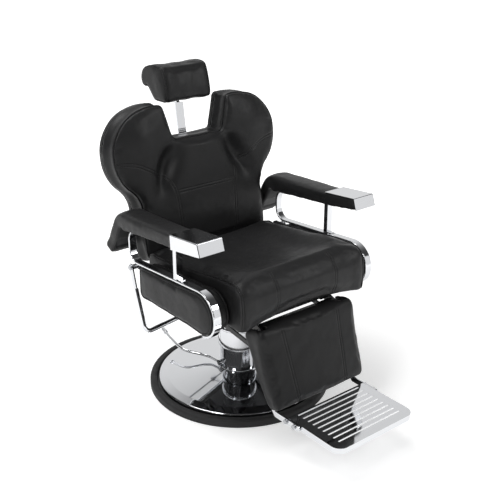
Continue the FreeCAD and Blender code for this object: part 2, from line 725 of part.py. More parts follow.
def recline_cylinder():
    front = RECLINE_CYLINDER_FRONT_Y
    rear = RECLINE_CYLINDER_REAR_Y
    start = Vector(0, front, CYLINDER_AXIS_Z)
    body = Part.makeCylinder(RECLINE_CYLINDER_RADIUS, rear - front, start, Vector(0, 1, 0))
    bore = Part.makeCylinder(RECLINE_CYLINDER_BORE, rear - front - 20, start + Vector(0, 10, 0),
                             Vector(0, 1, 0))
    rod_hole = Part.makeCylinder(RECLINE_ROD_RADIUS + RUNNING, rear - front, start + Vector(0, 10, 0),
                                 Vector(0, 1, 0))
    lug = side_plate([(front - 22, CYLINDER_AXIS_Z - 9, 8), (front + 4, CYLINDER_AXIS_Z - 9),
                      (front + 4, CYLINDER_AXIS_Z + 9), (front - 22, CYLINDER_AXIS_Z + 9, 8)], -8.7, 8.7)
    lug = lug.cut(cross_pin(BOLT_RADIUS, -9, 9, front - 12, CYLINDER_AXIS_Z))
    return body.fuse(lug).cut(bore).cut(rod_hole)


# Seat


def seat_board():
    corners = []
    half = SEAT_BOARD_HALF_WIDTH
    for x, y in ((-half, SEAT_BOARD_FRONT_Y), (half, SEAT_BOARD_FRONT_Y), (half, SEAT_BOARD_REAR_Y),
                 (-half, SEAT_BOARD_REAR_Y)):
        corners.append((Vector(x, y, BOARD_BOTTOM), 20))
    return Part.Face(rounded_wire(corners)).extrude(Vector(0, 0, SEAT_BOARD_THICK))


def seat_section(x, drop, roll, front_dish, rear_dish, rear_top):
    arch = SEAT_FRONT_ARCH * math.cos(math.pi / 2 * x / SEAT_HALF_WIDTH)
    front = SEAT_FRONT_Y + drop
    rear = SEAT_REAR_Y
    points = [(rear, SEAT_BOTTOM), (0, SEAT_BOTTOM), (-250, SEAT_BOTTOM), (-295, SEAT_BOTTOM + arch / 2),
              (front + 20, SEAT_BOTTOM + arch), (front + 8, SEAT_BOTTOM + arch + 4),
              (front + 3, SEAT_BOTTOM + arch + 16), (front, 492), (front + 4, roll - 42),
              (front + 18, roll - 13), (front + 58, roll), (-215, front_dish + 13), (-125, front_dish),
              (0, rear_dish), (125, rear_top + 9), (rear - 9, rear_top), (rear, rear_top - 14),
              (rear, (rear_top + SEAT_BOTTOM) / 2)]
    vectors = []
    for y, z in points:
        vectors.append(Vector(x, y, z))
    return bowed_wire(vectors)


def seat_cushion():
    wires = []
    for side in (1, -1):
        ordered = SEAT_STATIONS if side == 1 else SEAT_STATIONS[-2::-1]
        for share, roll, front_dish, rear_dish, rear_top in ordered:
            drop = 10 if share == 1.0 else 0
            wires.append(seat_section(side * share * SEAT_HALF_WIDTH, drop, roll, front_dish, rear_dish,
                                      rear_top))
    return smooth_loft(wires).cut(seat_board())


# Side panels and arms

def rail_z(y):
    """Height of the lower rail's centre line."""
    return RAIL_Z_AT_REAR + (STRAP_REAR_Y - y) * RAIL_RISE


def underside_z(y):
    """Height of the arm pad's underside."""
    return ARM_UNDERSIDE_FRONT_Z - (y - ARM_UNDERSIDE_FRONT_Y) * ARM_UNDERSIDE_FALL


def strap(width, thick):
    """The bent flat strap on the left, as wide and thick as asked."""
    x = STRAP_CENTRE_X
    half = STRAP_THICK / 2
    front = POST_Y - POST_LENGTH
    corners = [(Vector(x, front, underside_z(front) - half), 0),
               (Vector(x, STRAP_REAR_Y, underside_z(STRAP_REAR_Y) - half), STRAP_TOP_ROUND),
               (Vector(x, STRAP_REAR_Y, rail_z(STRAP_REAR_Y)), STRAP_FOOT_ROUND),
               (Vector(x, STRAP_FRONT_Y, rail_z(STRAP_FRONT_Y)), STRAP_NOSE_ROUND),
               (Vector(x, STRAP_FRONT_Y, STRAP_BOTTOM_Z), STRAP_CHIN_ROUND),
               (Vector(x, STRAP_END_Y + 8, STRAP_BOTTOM_Z), 0)]
    path = rounded_wire(corners, False)
    start = corners[0][0]
    along = (corners[1][0] - start).normalize()
    across = Vector(1, 0, 0)
    up = along.cross(across).normalize()
    profile = []
    for a, b in ((-1, -1), (1, -1), (1, 1), (-1, 1)):
        profile.append((start + across * (a * width / 2) + up * (b * thick / 2), STRAP_ROUND))
    return swept(path, rounded_wire(profile))


def strap_tab(y, room):
    """A tab below the strap's rail that lies on the side board, larger by the room asked."""
    front = y - STRAP_TAB_LENGTH / 2 - room
    rear = y + STRAP_TAB_LENGTH / 2 + room
    drop = STRAP_TAB_DROP + room
    return side_plate([(front, rail_z(front)), (front, rail_z(front) - drop, 6),
                       (rear, rail_z(rear) - drop, 6), (rear, rail_z(rear))],
                      BOARD_OUTER_X, BOARD_OUTER_X + STRAP_TAB_THICK + room)


def arm_frame():
    frame = strap(STRAP_WIDTH, STRAP_THICK)
    for y in STRAP_TAB_PLACES:
        frame = frame.fuse(strap_tab(y, 0))
    return frame


def panel_wire(x, inset, front_y):
    """The capsule outline of a side panel, inside the strap."""
    half = STRAP_THICK / 2 + PANEL_GAP + inset
    rear = PANEL_REAR_Y - inset
    front = front_y + PANEL_GAP + inset
    foot = STRAP_BOTTOM_Z + half
    corners = [(Vector(x, rear, foot), max(PANEL_REAR_ROUND - inset, 1)),
               (Vector(x, rear, rail_z(rear) - half), max(PANEL_REAR_ROUND / 2 - inset, 1)),
               (Vector(x, front, rail_z(front) - half), STRAP_NOSE_ROUND - half),
               (Vector(x, front, foot), STRAP_CHIN_ROUND - half)]
    return rounded_wire(corners)


def panel_body(x0, x1, front_y):
    wires = []
    for share, inset in OUTER_PANEL_STEPS:
        wires.append(panel_wire(x0 + share * (x1 - x0), inset, front_y))
    return smooth_loft(wires)


def outer_panels():
    panel = panel_body(BOARD_OUTER_X, OUTER_PANEL_X, STRAP_FRONT_Y + STRAP_THICK / 2)
    for y in STRAP_TAB_PLACES:
        panel = panel.cut(strap_tab(y, PANEL_GAP / 2))
    return both_sides(panel)


def inner_panels():
    half = TUBE_SIZE / 2
    panel = panel_body(BOARD_INNER_X, INNER_PANEL_X, INNER_PANEL_FRONT_Y)
    for y in (-CROSS_TUBE_Y, CROSS_TUBE_Y):
        panel = panel.cut(box(INNER_PANEL_X - 5, BOARD_INNER_X, y - half, y + half, FRAME_BOTTOM,
                              FRAME_TOP))
    return both_sides(panel)


def side_boards():
    ear_front = PANEL_REAR_Y - 30
    body = Part.Face(panel_wire(BOARD_INNER_X, 2, INNER_PANEL_FRONT_Y)).extrude(Vector(BOARD_THICK, 0, 0))
    ear = side_plate([(ear_front, HANDLE_PIVOT_Z - 16), (HANDLE_PIVOT_Y + 16, HANDLE_PIVOT_Z - 16, 12),
                      (HANDLE_PIVOT_Y + 16, HANDLE_PIVOT_Z + 16, 12), (ear_front, HANDLE_PIVOT_Z + 16)],
                     BOARD_INNER_X, BOARD_OUTER_X)
    return both_sides(body.fuse(ear))


def arm_posts():
    half_width = POST_WIDTH / 2
    post = box(STRAP_CENTRE_X - half_width, STRAP_CENTRE_X + half_width, POST_Y - POST_LENGTH / 2,
               POST_Y + POST_LENGTH / 2, rail_z(POST_Y) - 1, underside_z(POST_Y) - 1)
    tab_front = POST_Y - POST_LENGTH * 1.6
    tab = side_plate([(tab_front, rail_z(tab_front)), (POST_Y, rail_z(POST_Y)),
                      (POST_Y, rail_z(POST_Y) + 9), (tab_front, rail_z(tab_front) + 7, 3)],
                     STRAP_CENTRE_X - half_width + 3, STRAP_CENTRE_X + half_width - 3)
    return both_sides(post.fuse(tab).cut(arm_frame()))


def pad_place(y, z, heading, thick):
    """The top and foot of a section square to the pad's top line."""
    return ((y, z), (y - thick * math.sin(heading), z - thick * math.cos(heading)))


def pad_stations():
    """Sections along the pad: straight, round the bend and down the tail."""
    stations = []
    y, z = PAD_STEP_TOP
    for i in range(PAD_STRAIGHT_STEPS):
        reach = PAD_STRAIGHT * i / PAD_STRAIGHT_STEPS
        top_y = y + reach * math.cos(PAD_FALL)
        top_z = z - reach * math.sin(PAD_FALL)
        stations.append(pad_place(top_y, top_z, PAD_FALL, top_z - underside_z(top_y) + PAD_OVER_STRAP))
    bend_y = y + PAD_STRAIGHT * math.cos(PAD_FALL)
    bend_z = z - PAD_STRAIGHT * math.sin(PAD_FALL)
    centre_y = bend_y - PAD_BEND_RADIUS * math.sin(PAD_FALL)
    centre_z = bend_z - PAD_BEND_RADIUS * math.cos(PAD_FALL)
    heading = PAD_FALL
    for i in range(5):
        heading = PAD_FALL + PAD_TURN * i / 4
        middle = bend_z - underside_z(bend_y) + PAD_OVER_STRAP
        thick = middle + (PAD_THICK_TAIL - middle) * i / 4
        stations.append(pad_place(centre_y + PAD_BEND_RADIUS * math.sin(heading),
                                  centre_z + PAD_BEND_RADIUS * math.cos(heading), heading, thick))
    bend_y, bend_z = stations[-1][0]
    for i in range(1, 5):
        reach = PAD_TAIL * i / 4
        stations.append(pad_place(bend_y + reach * math.cos(heading), bend_z - reach * math.sin(heading),
                                  heading, PAD_THICK_TAIL))
    return stations


def pad_section(top, foot, inset):
    """A rounded, crowned section of the arm pad across X."""
    height = math.hypot(top[0] - foot[0], top[1] - foot[1])
    up = Vector(0, (top[0] - foot[0]) / height, (top[1] - foot[1]) / height)
    base = Vector(0, foot[0], foot[1])
    x0 = PAD_INNER_X + inset
    x1 = PAD_OUTER_X - inset
    middle = (x0 + x1) / 2
    crown = 3.0
    draw = 1.5
    big = 11.0
    small = 6.0
    high = height - crown - inset
    low = inset
    flat = [(x0 + small, low), (middle, low), (x1 - small, low), (x1 - small / 3.4, low + small / 3.4),
            (x1, low + small), (x1 - draw, (low + small + high - big) / 2), (x1, high - big),
            (x1 - big / 3.4, high - big / 3.4), (x1 - big, high), (middle, high + crown),
            (x0 + big, high), (x0 + big / 3.4, high - big / 3.4), (x0, high - big),
            (x0 + draw, (low + small + high - big) / 2), (x0, low + small),
            (x0 + small / 3.4, low + small / 3.4)]
    vectors = []
    for x, rise in flat:
        vectors.append(base + Vector(x, 0, 0) + up * rise)
    return bowed_wire(vectors)


def cap_block():
    """The outside of the cap with the pad's front end in it."""
    foot_rear = pad_stations()[0][1]
    block = side_plate([PAD_FRONT_TOP, PAD_FRONT_FOOT, foot_rear, PAD_STEP_TOP], PAD_INNER_X, PAD_OUTER_X)
    edges = []
    for edge in block.Edges:
        box_of = edge.BoundBox
        if box_of.XMin > PAD_OUTER_X - 1 and box_of.ZMin > PAD_FRONT_FOOT[1] - 1 and box_of.YMax < 0:
            if box_of.YLength < 20 or box_of.ZMin > 700:
                if box_of.YMin < PAD_STEP_TOP[0] - 8:
                    edges.append(edge)
        if box_of.XLength > 50 and abs(box_of.ZMin - PAD_FRONT_TOP[1]) < 1:
            edges.append(edge)
    return block.makeFillet(3.0, edges)


def cap_inside():
    """What the cap leaves free: open below, behind and on the inner side."""
    wall = CAP_WALL
    foot_rear = pad_stations()[0][1]
    return side_plate([(PAD_FRONT_TOP[0] + wall, PAD_FRONT_TOP[1] - wall),
                       (PAD_FRONT_FOOT[0] + wall, PAD_FRONT_FOOT[1]), (PAD_FRONT_FOOT[0] + wall, 600),
                       (PAD_STEP_TOP[0], 600), foot_rear, (PAD_STEP_TOP[0], PAD_STEP_TOP[1] - wall)],
                      PAD_INNER_X - 10, PAD_OUTER_X - wall)


def arm_cap():
    return cap_block().cut(cap_inside())


def arm_tail_plate():
    """A steel plate let into the inner face of the arm pad's tail."""
    (top_y, top_z), (foot_y, foot_z) = pad_stations()[-1]
    height = math.hypot(top_y - foot_y, top_z - foot_z)
    inward_y = (top_y - foot_y) / height
    inward_z = (top_z - foot_z) / height
    corners = []
    for along, inside in ((TAIL_PLATE_LENGTH, 0), (0, 0), (0, TAIL_PLATE_THICK),
                          (TAIL_PLATE_LENGTH, TAIL_PLATE_THICK)):
        corners.append((foot_y - inward_z * along + inward_y * inside,
                        foot_z + inward_y * along + inward_z * inside))
    return side_plate(corners, STRAP_CENTRE_X - TAIL_PLATE_HALF_WIDTH,
                      STRAP_CENTRE_X + TAIL_PLATE_HALF_WIDTH)


def arm_tail_plates():
    return both_sides(arm_tail_plate())


def arm_pad():
    wires = []
    for top, foot in pad_stations():
        wires.append(pad_section(top, foot, 0))
    end_y = 7 * math.cos(PAD_FALL + PAD_TURN)
    end_z = 7 * math.sin(PAD_FALL + PAD_TURN)
    top, foot = pad_stations()[-1]
    wires.append(pad_section((top[0] + end_y, top[1] - end_z), (foot[0] + end_y, foot[1] - end_z), 5))
    body = smooth_loft(wires).cut(strap(STRAP_WIDTH + 2, STRAP_THICK + 1.5)).cut(arm_tail_plate())
    front = cap_block().common(cap_inside())
    return Part.makeCompound([body, front])


def handle_pivots():
    y = HANDLE_PIVOT_Y
    z = HANDLE_PIVOT_Z
    spacer = cross_pin(9, BOARD_OUTER_X, HANDLE_PLATE_X - SIDE_GAP, y, z)
    pin = cross_pin(PIVOT_RADIUS, BOARD_OUTER_X, HANDLE_PLATE_X + HANDLE_PLATE_THICK + SIDE_GAP, y, z)
    head_x = HANDLE_PLATE_X + HANDLE_PLATE_THICK + SIDE_GAP
    head = cross_pin(9, head_x, head_x + 4, y, z)
    return both_sides(spacer.fuse(pin).fuse(head))


# Back


def on_back(x, height, depth):
    """A place on the leaning back: height up its front plane, depth behind that plane."""
    y = BACK_FOOT_Y + height * math.sin(LEAN) + depth * math.cos(LEAN)
    z = BACK_FOOT_Z + height * math.cos(LEAN) - depth * math.sin(LEAN)
    return Vector(x, y, z)


def back_place(y, z):
    """Height and depth on the back of a place seen from the side."""
    dy = y - BACK_FOOT_Y
    dz = z - BACK_FOOT_Z
    return (dy * math.sin(LEAN) + dz * math.cos(LEAN), dy * math.cos(LEAN) - dz * math.sin(LEAN))


def back_wire(inset, depth):
    half = BACK_OUTLINE
    full = list(half)
    for x, height in half[-2:0:-1]:
        full.append((-x, height))
    vectors = []
    for x, height in inset_outline(full, inset):
        vectors.append(on_back(x, height, depth))
    return bowed_wire(vectors)


def back_hollow():
    """The hollow beside the left corner of the notch, as the rounded body that presses it."""
    scale = FreeCAD.Matrix()
    scale.scale(HOLLOW_HALF_WIDTH, HOLLOW_HALF_THICK, HOLLOW_HALF_LENGTH)
    body = Part.makeSphere(1.0).transformGeometry(scale)
    origin = Vector(0, 0, 0)
    body.rotate(origin, Vector(0, 1, 0), -HOLLOW_TURN)
    body.rotate(origin, Vector(1, 0, 0), -BACK_LEAN)
    fall = HOLLOW_X * HOLLOW_X / (2 * BACK_CROWN_RADIUS)
    depth = fall - BACK_CROWN + HOLLOW_DEPTH - HOLLOW_HALF_THICK
    body.translate(on_back(HOLLOW_X, HOLLOW_HEIGHT, depth))
    return body


def back_cushion():
    rear_depth = BACK_THICK - BACK_BOARD_THICK
    wires = []
    for share, inset in BACK_STEPS:
        depth = share * rear_depth if share > 0 else share * BACK_CROWN
        wires.append(back_wire(inset, depth))
    crown = Part.makeSphere(BACK_CROWN_RADIUS,
                            on_back(0, BACK_CROWN_HEIGHT, BACK_CROWN_RADIUS - BACK_CROWN))
    behind_seat = box(-SEAT_HALF_WIDTH * 2, SEAT_HALF_WIDTH * 2, SEAT_REAR_Y - BACK_CROWN * 2,
                      SEAT_REAR_Y + SEAT_BACK_GAP, 0, BACK_ABOVE_SEAT)
    ear_room = cross_pin(EAR_ROOM_RADIUS, RAIL_OUTER_X - SWING_GAP, RAIL_OUTER_X + EAR_THICK + SWING_GAP,
                         BACK_PIVOT_Y, BACK_PIVOT_Z)
    hollow = back_hollow()
    cushion = smooth_loft(wires).common(crown).cut(behind_seat)
    return cushion.cut(both_sides(ear_room)).cut(hollow).cut(mirrored(hollow))


def back_board():
    rear_depth = BACK_THICK - BACK_BOARD_THICK
    face = Part.Face(back_wire(BACK_BOARD_INSET, rear_depth))
    thick = on_back(0, 0, BACK_THICK) - on_back(0, 0, rear_depth)
    return face.extrude(thick)


def back_profile(points, x0, x1, radius):
    """A plate on the back from (height, depth) corners."""
    corners = []
    for height, depth in points:
        place = on_back(0, height, depth)
        corners.append((place.y, place.z, radius))
    return side_plate(corners, x0, x1)


def back_levers():
    rear = BACK_THICK
    pivot = back_place(BACK_PIVOT_Y, BACK_PIVOT_Z)
    link_pin = back_place(BACK_PIVOT_Y + LINK_PIN_DY, BACK_PIVOT_Z + LINK_PIN_DZ)
    cylinder_pin = back_place(CYLINDER_PIN_Y, CYLINDER_PIN_Z)
    points = [(190, rear), (190, rear + 20), (0, rear + 26), (link_pin[0], rear + 26),
              (cylinder_pin[0] - 12, rear + 28), (cylinder_pin[0] - 12, cylinder_pin[1] - 14),
              (link_pin[0], link_pin[1] - 12), (pivot[0] - 14, pivot[1] + 2),
              (pivot[0] - 12, pivot[1] - 12), (-3, pivot[1] - 12), (-3, rear)]
    corners = []
    for height, depth in points:
        place = on_back(0, height, depth)
        corners.append((place.y, place.z, 2.0))
    lever = side_plate(corners, LEVER_INNER_X, LEVER_OUTER_X)
    x0 = LEVER_INNER_X
    x1 = LEVER_OUTER_X
    lever = lever.cut(cross_pin(PIVOT_RADIUS + RUNNING, x0, x1, BACK_PIVOT_Y, BACK_PIVOT_Z))
    link_y = BACK_PIVOT_Y + LINK_PIN_DY
    link_z = BACK_PIVOT_Z + LINK_PIN_DZ
    lever = lever.cut(cross_pin(LINK_PIN_RADIUS + OPEN_PIVOT_GAP, x0, x1, link_y, link_z))
    lever = lever.cut(cross_pin(CROSSBAR_RADIUS, x0, x1, CYLINDER_PIN_Y, CYLINDER_PIN_Z))
    return both_sides(lever)


def back_crossbar():
    return cross_pin(CROSSBAR_RADIUS, -LEVER_OUTER_X, LEVER_OUTER_X, CYLINDER_PIN_Y, CYLINDER_PIN_Z)


def on_back_block(half_width, height0, height1, depth0, depth1):
    return back_profile([(height0, depth0), (height1, depth0), (height1, depth1), (height0, depth1)],
                        -half_width, half_width, 0.0)


def headrest_socket():
    half_bar = BAR_THICK / 2
    outer_depth = BAR_CENTRE_DEPTH + half_bar + SOCKET_WALL
    body = on_back_block(SOCKET_HALF_WIDTH, SOCKET_BOTTOM, SOCKET_TOP, BACK_THICK, outer_depth)
    slot = on_back_block(BAR_HALF_WIDTH + RUNNING, SOCKET_BOTTOM - 5, SOCKET_TOP + 5,
                         BAR_CENTRE_DEPTH - half_bar - RUNNING, BAR_CENTRE_DEPTH + half_bar + RUNNING)
    bore = Part.makeCylinder(KNOB_STEM_RADIUS + RUNNING, SOCKET_WALL + 4,
                             on_back(0, KNOB_HEIGHT_ON_BACK, BAR_CENTRE_DEPTH), on_back_normal())
    return body.cut(slot).cut(bore)


def on_back_normal():
    return on_back(0, 0, 1) - on_back(0, 0, 0)


def headrest_knob():
    normal = on_back_normal()
    stem_depth = BAR_CENTRE_DEPTH + BAR_THICK / 2 + RUNNING + SIDE_GAP
    knob_depth = BAR_CENTRE_DEPTH + BAR_THICK / 2 + SOCKET_WALL + 4
    stem = Part.makeCylinder(KNOB_STEM_RADIUS, knob_depth - stem_depth,
                             on_back(0, KNOB_HEIGHT_ON_BACK, stem_depth), normal)
    knob = Part.makeCylinder(KNOB_RADIUS, KNOB_LENGTH, on_back(0, KNOB_HEIGHT_ON_BACK, knob_depth), normal)
    for i in range(5):
        turn = math.radians(72 * i)
        flute = on_back((KNOB_RADIUS + 3) * math.cos(turn),
                        KNOB_HEIGHT_ON_BACK + (KNOB_RADIUS + 3) * math.sin(turn), knob_depth)
        knob = knob.cut(Part.makeCylinder(KNOB_RADIUS / 2.7, KNOB_LENGTH, flute, normal))
    return stem.fuse(knob)


# Headrest

def headrest_bar():
    half_bar = BAR_THICK / 2
    bar = on_back_block(BAR_HALF_WIDTH, BAR_BOTTOM, BAR_TOP, BAR_CENTRE_DEPTH - half_bar,
                        BAR_CENTRE_DEPTH + half_bar)
    low = on_back(0, BAR_TOP - 34, BAR_CENTRE_DEPTH)
    high = on_back(0, BAR_TOP - 3, BAR_CENTRE_DEPTH)
    lug = side_plate([(low.y, low.z), (TILT_PIN_Y + 4, TILT_PIN_Z - 10, 8),
                      (TILT_PIN_Y + 9, TILT_PIN_Z + 3, 6), (TILT_PIN_Y - 3, TILT_PIN_Z + 9, 6),
                      (high.y, high.z)], -6, 6)
    hole = cross_pin(TILT_PIN_RADIUS + RUNNING, -6, 6, TILT_PIN_Y, TILT_PIN_Z)
    return bar.fuse(lug).cut(hole)


def headrest_wire(x, inset):
    vectors = []
    for y, z in inset_outline(HEADREST_OUTLINE, inset):
        vectors.append(Vector(x, y, z))
    return bowed_wire(vectors)


def headrest_pad():
    wires = []
    for share, inset in HEADREST_STEPS:
        wires.append(headrest_wire(share * HEADREST_HALF_WIDTH, inset))
    return smooth_loft(wires).cut(headrest_plate())


def headrest_plate():
    foot_y, foot_z = HEADREST_FACE_FOOT
    top_y, top_z = HEADREST_FACE_TOP
    length = math.hypot(top_y - foot_y, top_z - foot_z)
    out_y = (top_z - foot_z) / length
    out_z = -(top_y - foot_y) / length

    def layer(thick, x0, x1, reach):
        end_y = foot_y + reach * (top_y - foot_y)
        end_z = foot_z + reach * (top_z - foot_z)
        return side_plate([(foot_y, foot_z), (foot_y + out_y * thick, foot_z + out_z * thick),
                           (end_y + out_y * thick, end_z + out_z * thick), (end_y, end_z)], x0, x1)

    half_width = HEADREST_PLATE_HALF_WIDTH
    plate = layer(HEADREST_PLATE_THICK, -half_width, half_width, 1)
    rim = layer(HEADREST_RIM_THICK, HEADREST_RIM_INNER_X, half_width, HEADREST_RIM_REACH)
    plate = plate.fuse(both_sides(rim))
    ear = side_plate([(foot_y + out_y, foot_z + out_z), (TILT_PIN_Y - 4, TILT_PIN_Z - 9, 8),
                      (TILT_PIN_Y + 9, TILT_PIN_Z - 3, 8), (foot_y + 26 + out_y, foot_z + 28 + out_z)],
                     6 + SIDE_GAP, 11)
    pin = cross_pin(TILT_PIN_RADIUS, -13, 13, TILT_PIN_Y, TILT_PIN_Z)
    return plate.fuse(ear).fuse(mirrored(ear)).fuse(pin)


# Leg rest


def on_leg(x, down, out):
    """A place on the leg rest: down along its face from the top edge, out in front of the face."""
    y = LEG_TOP_Y - down * math.sin(LEG_TILT) - out * math.cos(LEG_TILT)
    z = LEG_TOP_Z - down * math.cos(LEG_TILT) + out * math.sin(LEG_TILT)
    return Vector(x, y, z)


def leg_section(down, front, rear, less):
    half = LEG_TOP_HALF_WIDTH - less
    corner = min(18.0, (front - rear) / 3)
    cut = corner / 3.4
    middle = (front + rear) / 2
    flat = [(-half + corner, front), (0, front + 6), (half - corner, front), (half - cut, front - cut),
            (half, front - corner), (half - 2, middle), (half, rear + corner / 2),
            (half - cut / 2, rear + cut / 2), (half - corner / 2, rear), (0, rear),
            (-half + corner / 2, rear), (-half + cut / 2, rear + cut / 2), (-half, rear + corner / 2),
            (-half + 2, middle), (-half, front - corner), (-half + cut, front - cut)]
    vectors = []
    for x, out in flat:
        vectors.append(on_leg(x, down, out))
    return bowed_wire(vectors)


def leg_profile(points, x0, x1, radius=0.0):
    """A plate on the leg rest from (down, out) corners."""
    corners = []
    for down, out in points:
        place = on_leg(0, down, out)
        corners.append((place.y, place.z, radius))
    return side_plate(corners, x0, x1)


def board_rear(down):
    """Where the rear of the leg rest's board lies, as far out from the face as there."""
    share = (down - LEG_BOARD_TOP_DOWN) / (LEG_BOARD_FOOT_DOWN - LEG_BOARD_TOP_DOWN)
    front = LEG_BOARD_TOP_OUT + share * (LEG_BOARD_FOOT_OUT - LEG_BOARD_TOP_OUT)
    return front - LEG_BOARD_THICK


def leg_board():
    top = LEG_BOARD_TOP_DOWN
    foot = LEG_BOARD_FOOT_DOWN
    board = leg_profile([(top, LEG_BOARD_TOP_OUT), (foot, LEG_BOARD_FOOT_OUT), (foot, board_rear(foot)),
                         (top, board_rear(top))], -LEG_BOARD_HALF_WIDTH, LEG_BOARD_HALF_WIDTH)
    return board.cut(leg_slot()).cut(mirrored(leg_slot()))


def leg_slot():
    front = LEG_PIVOT_Y - LEG_SLOT_AHEAD
    rear = LEG_PIVOT_Y + LEG_SLOT_BEHIND
    top = LEG_PIVOT_Z + LEG_SLOT_ABOVE
    return side_plate([(front, top), (front, LEG_PIVOT_Z - LEG_SLOT_BELOW),
                       (rear, LEG_PIVOT_Z - LEG_SLOT_REAR_BELOW), (rear, top)],
                      LEG_SLOT_INNER_X, LEG_SLOT_OUTER_X)


def leg_cushion():
    wires = []
    for down, front, rear, less in LEG_STATIONS:
        wires.append(leg_section(down, front, rear, less))
    return smooth_loft(wires).cut(leg_board()).cut(leg_slot()).cut(mirrored(leg_slot()))


def leg_levers():
    y = LEG_PIVOT_Y
    z = LEG_PIVOT_Z
    pin_y = y + LINK_PIN_DY
    pin_z = z + LINK_PIN_DZ
    foot_out = board_rear(LEG_LEVER_FOOT_DOWN)
    low = on_leg(0, LEG_LEVER_FOOT_DOWN, foot_out)
    lower = on_leg(0, LEG_LEVER_FOOT_DOWN, foot_out - LEG_LEVER_FOOT_WIDTH)
    high = on_leg(0, LEG_LEVER_HEAD_DOWN, board_rear(LEG_LEVER_HEAD_DOWN))
    lever = side_plate([(y - 13, z + 13, 12), (y - 13, z - 14, 12), (high.y, high.z), (low.y, low.z),
                        (lower.y, lower.z, 6), (pin_y + 12, pin_z - 8, 8), (pin_y + 10, pin_z + 12, 8),
                        (y + 13, z + 13, 12)], LEVER_INNER_X, LEVER_OUTER_X)
    lever = lever.cut(cross_pin(PIVOT_RADIUS + RUNNING, LEVER_INNER_X, LEVER_OUTER_X, y, z))
    lever = lever.cut(cross_pin(LINK_PIN_RADIUS + RUNNING, LEVER_INNER_X, LEVER_OUTER_X, pin_y, pin_z))
    return both_sides(lever.cut(leg_board()))


def foot_links():
    x0 = FOOT_LINK_X
    x1 = FOOT_LINK_X + FOOT_LINK_THICK
    top = FOOT_LINK_TOP
    bottom = FOOT_LINK_TOP - FOOT_LINK_HEIGHT
    tab_out = board_rear(FOOT_LINK_TAB_DOWN)
    tab_top = on_leg(0, FOOT_LINK_TAB_DOWN, tab_out)
    tab_outer = on_leg(0, FOOT_LINK_TAB_DOWN, tab_out - FOOT_LINK_TAB_WIDTH)
    heel = FOOT_LINK_HEEL_Y
    link = side_plate([(FOOT_LINK_END_Y, bottom, 9), (heel, bottom, 12), (tab_outer.y, tab_outer.z, 6),
                       (tab_top.y, tab_top.z), (heel + 5, top + 9), (heel, top, 2),
                       (FOOT_LINK_END_Y, top, 9)], x0, x1)
    for y in (FOOT_FIXING_Y, FOOT_PIVOT_Y):
        link = link.cut(cross_pin(LINK_PIN_RADIUS, x0, x1, y, FOOT_PIVOT_Z))
    link = link.cut(leg_board())
    return both_sides(link.cut(leg_cushion()))


def foot_bolts():
    x0 = FOOT_LINK_X
    x1 = FOOT_LINK_X + FOOT_LINK_THICK
    inner = FOOT_PLATE_HALF_WIDTH - FOOT_PLATE_WALL - 6
    pieces = []
    for y, start in ((FOOT_FIXING_Y, x0), (FOOT_PIVOT_Y, inner)):
        shank = cross_pin(LINK_PIN_RADIUS, start, x1, y, FOOT_PIVOT_Z)
        head = cross_pin(LINK_PIN_RADIUS * 1.6, x1, x1 + 5, y, FOOT_PIVOT_Z)
        bolt = shank.fuse(head)
        pieces.append(bolt)
        pieces.append(mirrored(bolt))
    return Part.makeCompound(pieces)


def foot_plate():
    half = FOOT_PLATE_HALF_WIDTH
    rear = FOOT_PLATE_REAR_Y
    front = FOOT_PLATE_FRONT_Y
    bottom = FOOT_PLATE_TOP - FOOT_PLATE_RIM
    wall = FOOT_PLATE_WALL

    def tray(inset, z0, z1):
        corners = [(Vector(-half + inset, rear - inset, z0), 4 - inset),
                   (Vector(-half + inset, front + inset, z0), FOOT_PLATE_CORNER - inset),
                   (Vector(half - inset, front + inset, z0), FOOT_PLATE_CORNER - inset),
                   (Vector(half - inset, rear - inset, z0), 4 - inset)]
        return Part.Face(rounded_wire(corners)).extrude(Vector(0, 0, z1 - z0))

    plate = tray(0, bottom, FOOT_PLATE_TOP).cut(tray(wall, bottom, FOOT_PLATE_TOP - wall))
    for i in range(SLOT_COUNT):
        y = SLOT_FIRST_Y - i * SLOT_PITCH
        slot = box(-SLOT_HALF_LENGTH, SLOT_HALF_LENGTH, y - SLOT_WIDTH / 2, y + SLOT_WIDTH / 2,
                   FOOT_PLATE_TOP - wall, FOOT_PLATE_TOP)
        ends = both_sides(disc(SLOT_WIDTH / 2, FOOT_PLATE_TOP - wall, FOOT_PLATE_TOP, SLOT_HALF_LENGTH, y))
        plate = plate.cut(slot).cut(ends)
    bore = cross_pin(LINK_PIN_RADIUS + RUNNING, -half, half, FOOT_PIVOT_Y, FOOT_PIVOT_Z)
    return plate.cut(bore)


def link_bars():
    y0 = LEG_PIVOT_Y + LINK_PIN_DY
    z0 = LEG_PIVOT_Z + LINK_PIN_DZ
    y1 = BACK_PIVOT_Y + LINK_PIN_DY
    z1 = BACK_PIVOT_Z + LINK_PIN_DZ
    length = math.hypot(y1 - y0, z1 - z0)
    ay = (y1 - y0) / length * LINK_HALF_HEIGHT
    az = (z1 - z0) / length * LINK_HALF_HEIGHT
    bar = side_plate([(y0 - ay + az, z0 - az - ay, 7), (y1 + ay + az, z1 + az - ay, 7),
                      (y1 + ay - az, z1 + az + ay, 7), (y0 - ay - az, z0 - az + ay, 7)],
                     LINK_INNER_X, LINK_OUTER_X)
    for y, z in ((y0, z0), (y1, z1)):
        bar = bar.fuse(cross_pin(LINK_PIN_RADIUS, LEVER_INNER_X - 1, LINK_INNER_X, y, z))
    return both_sides(bar)


# Recline handle and rod

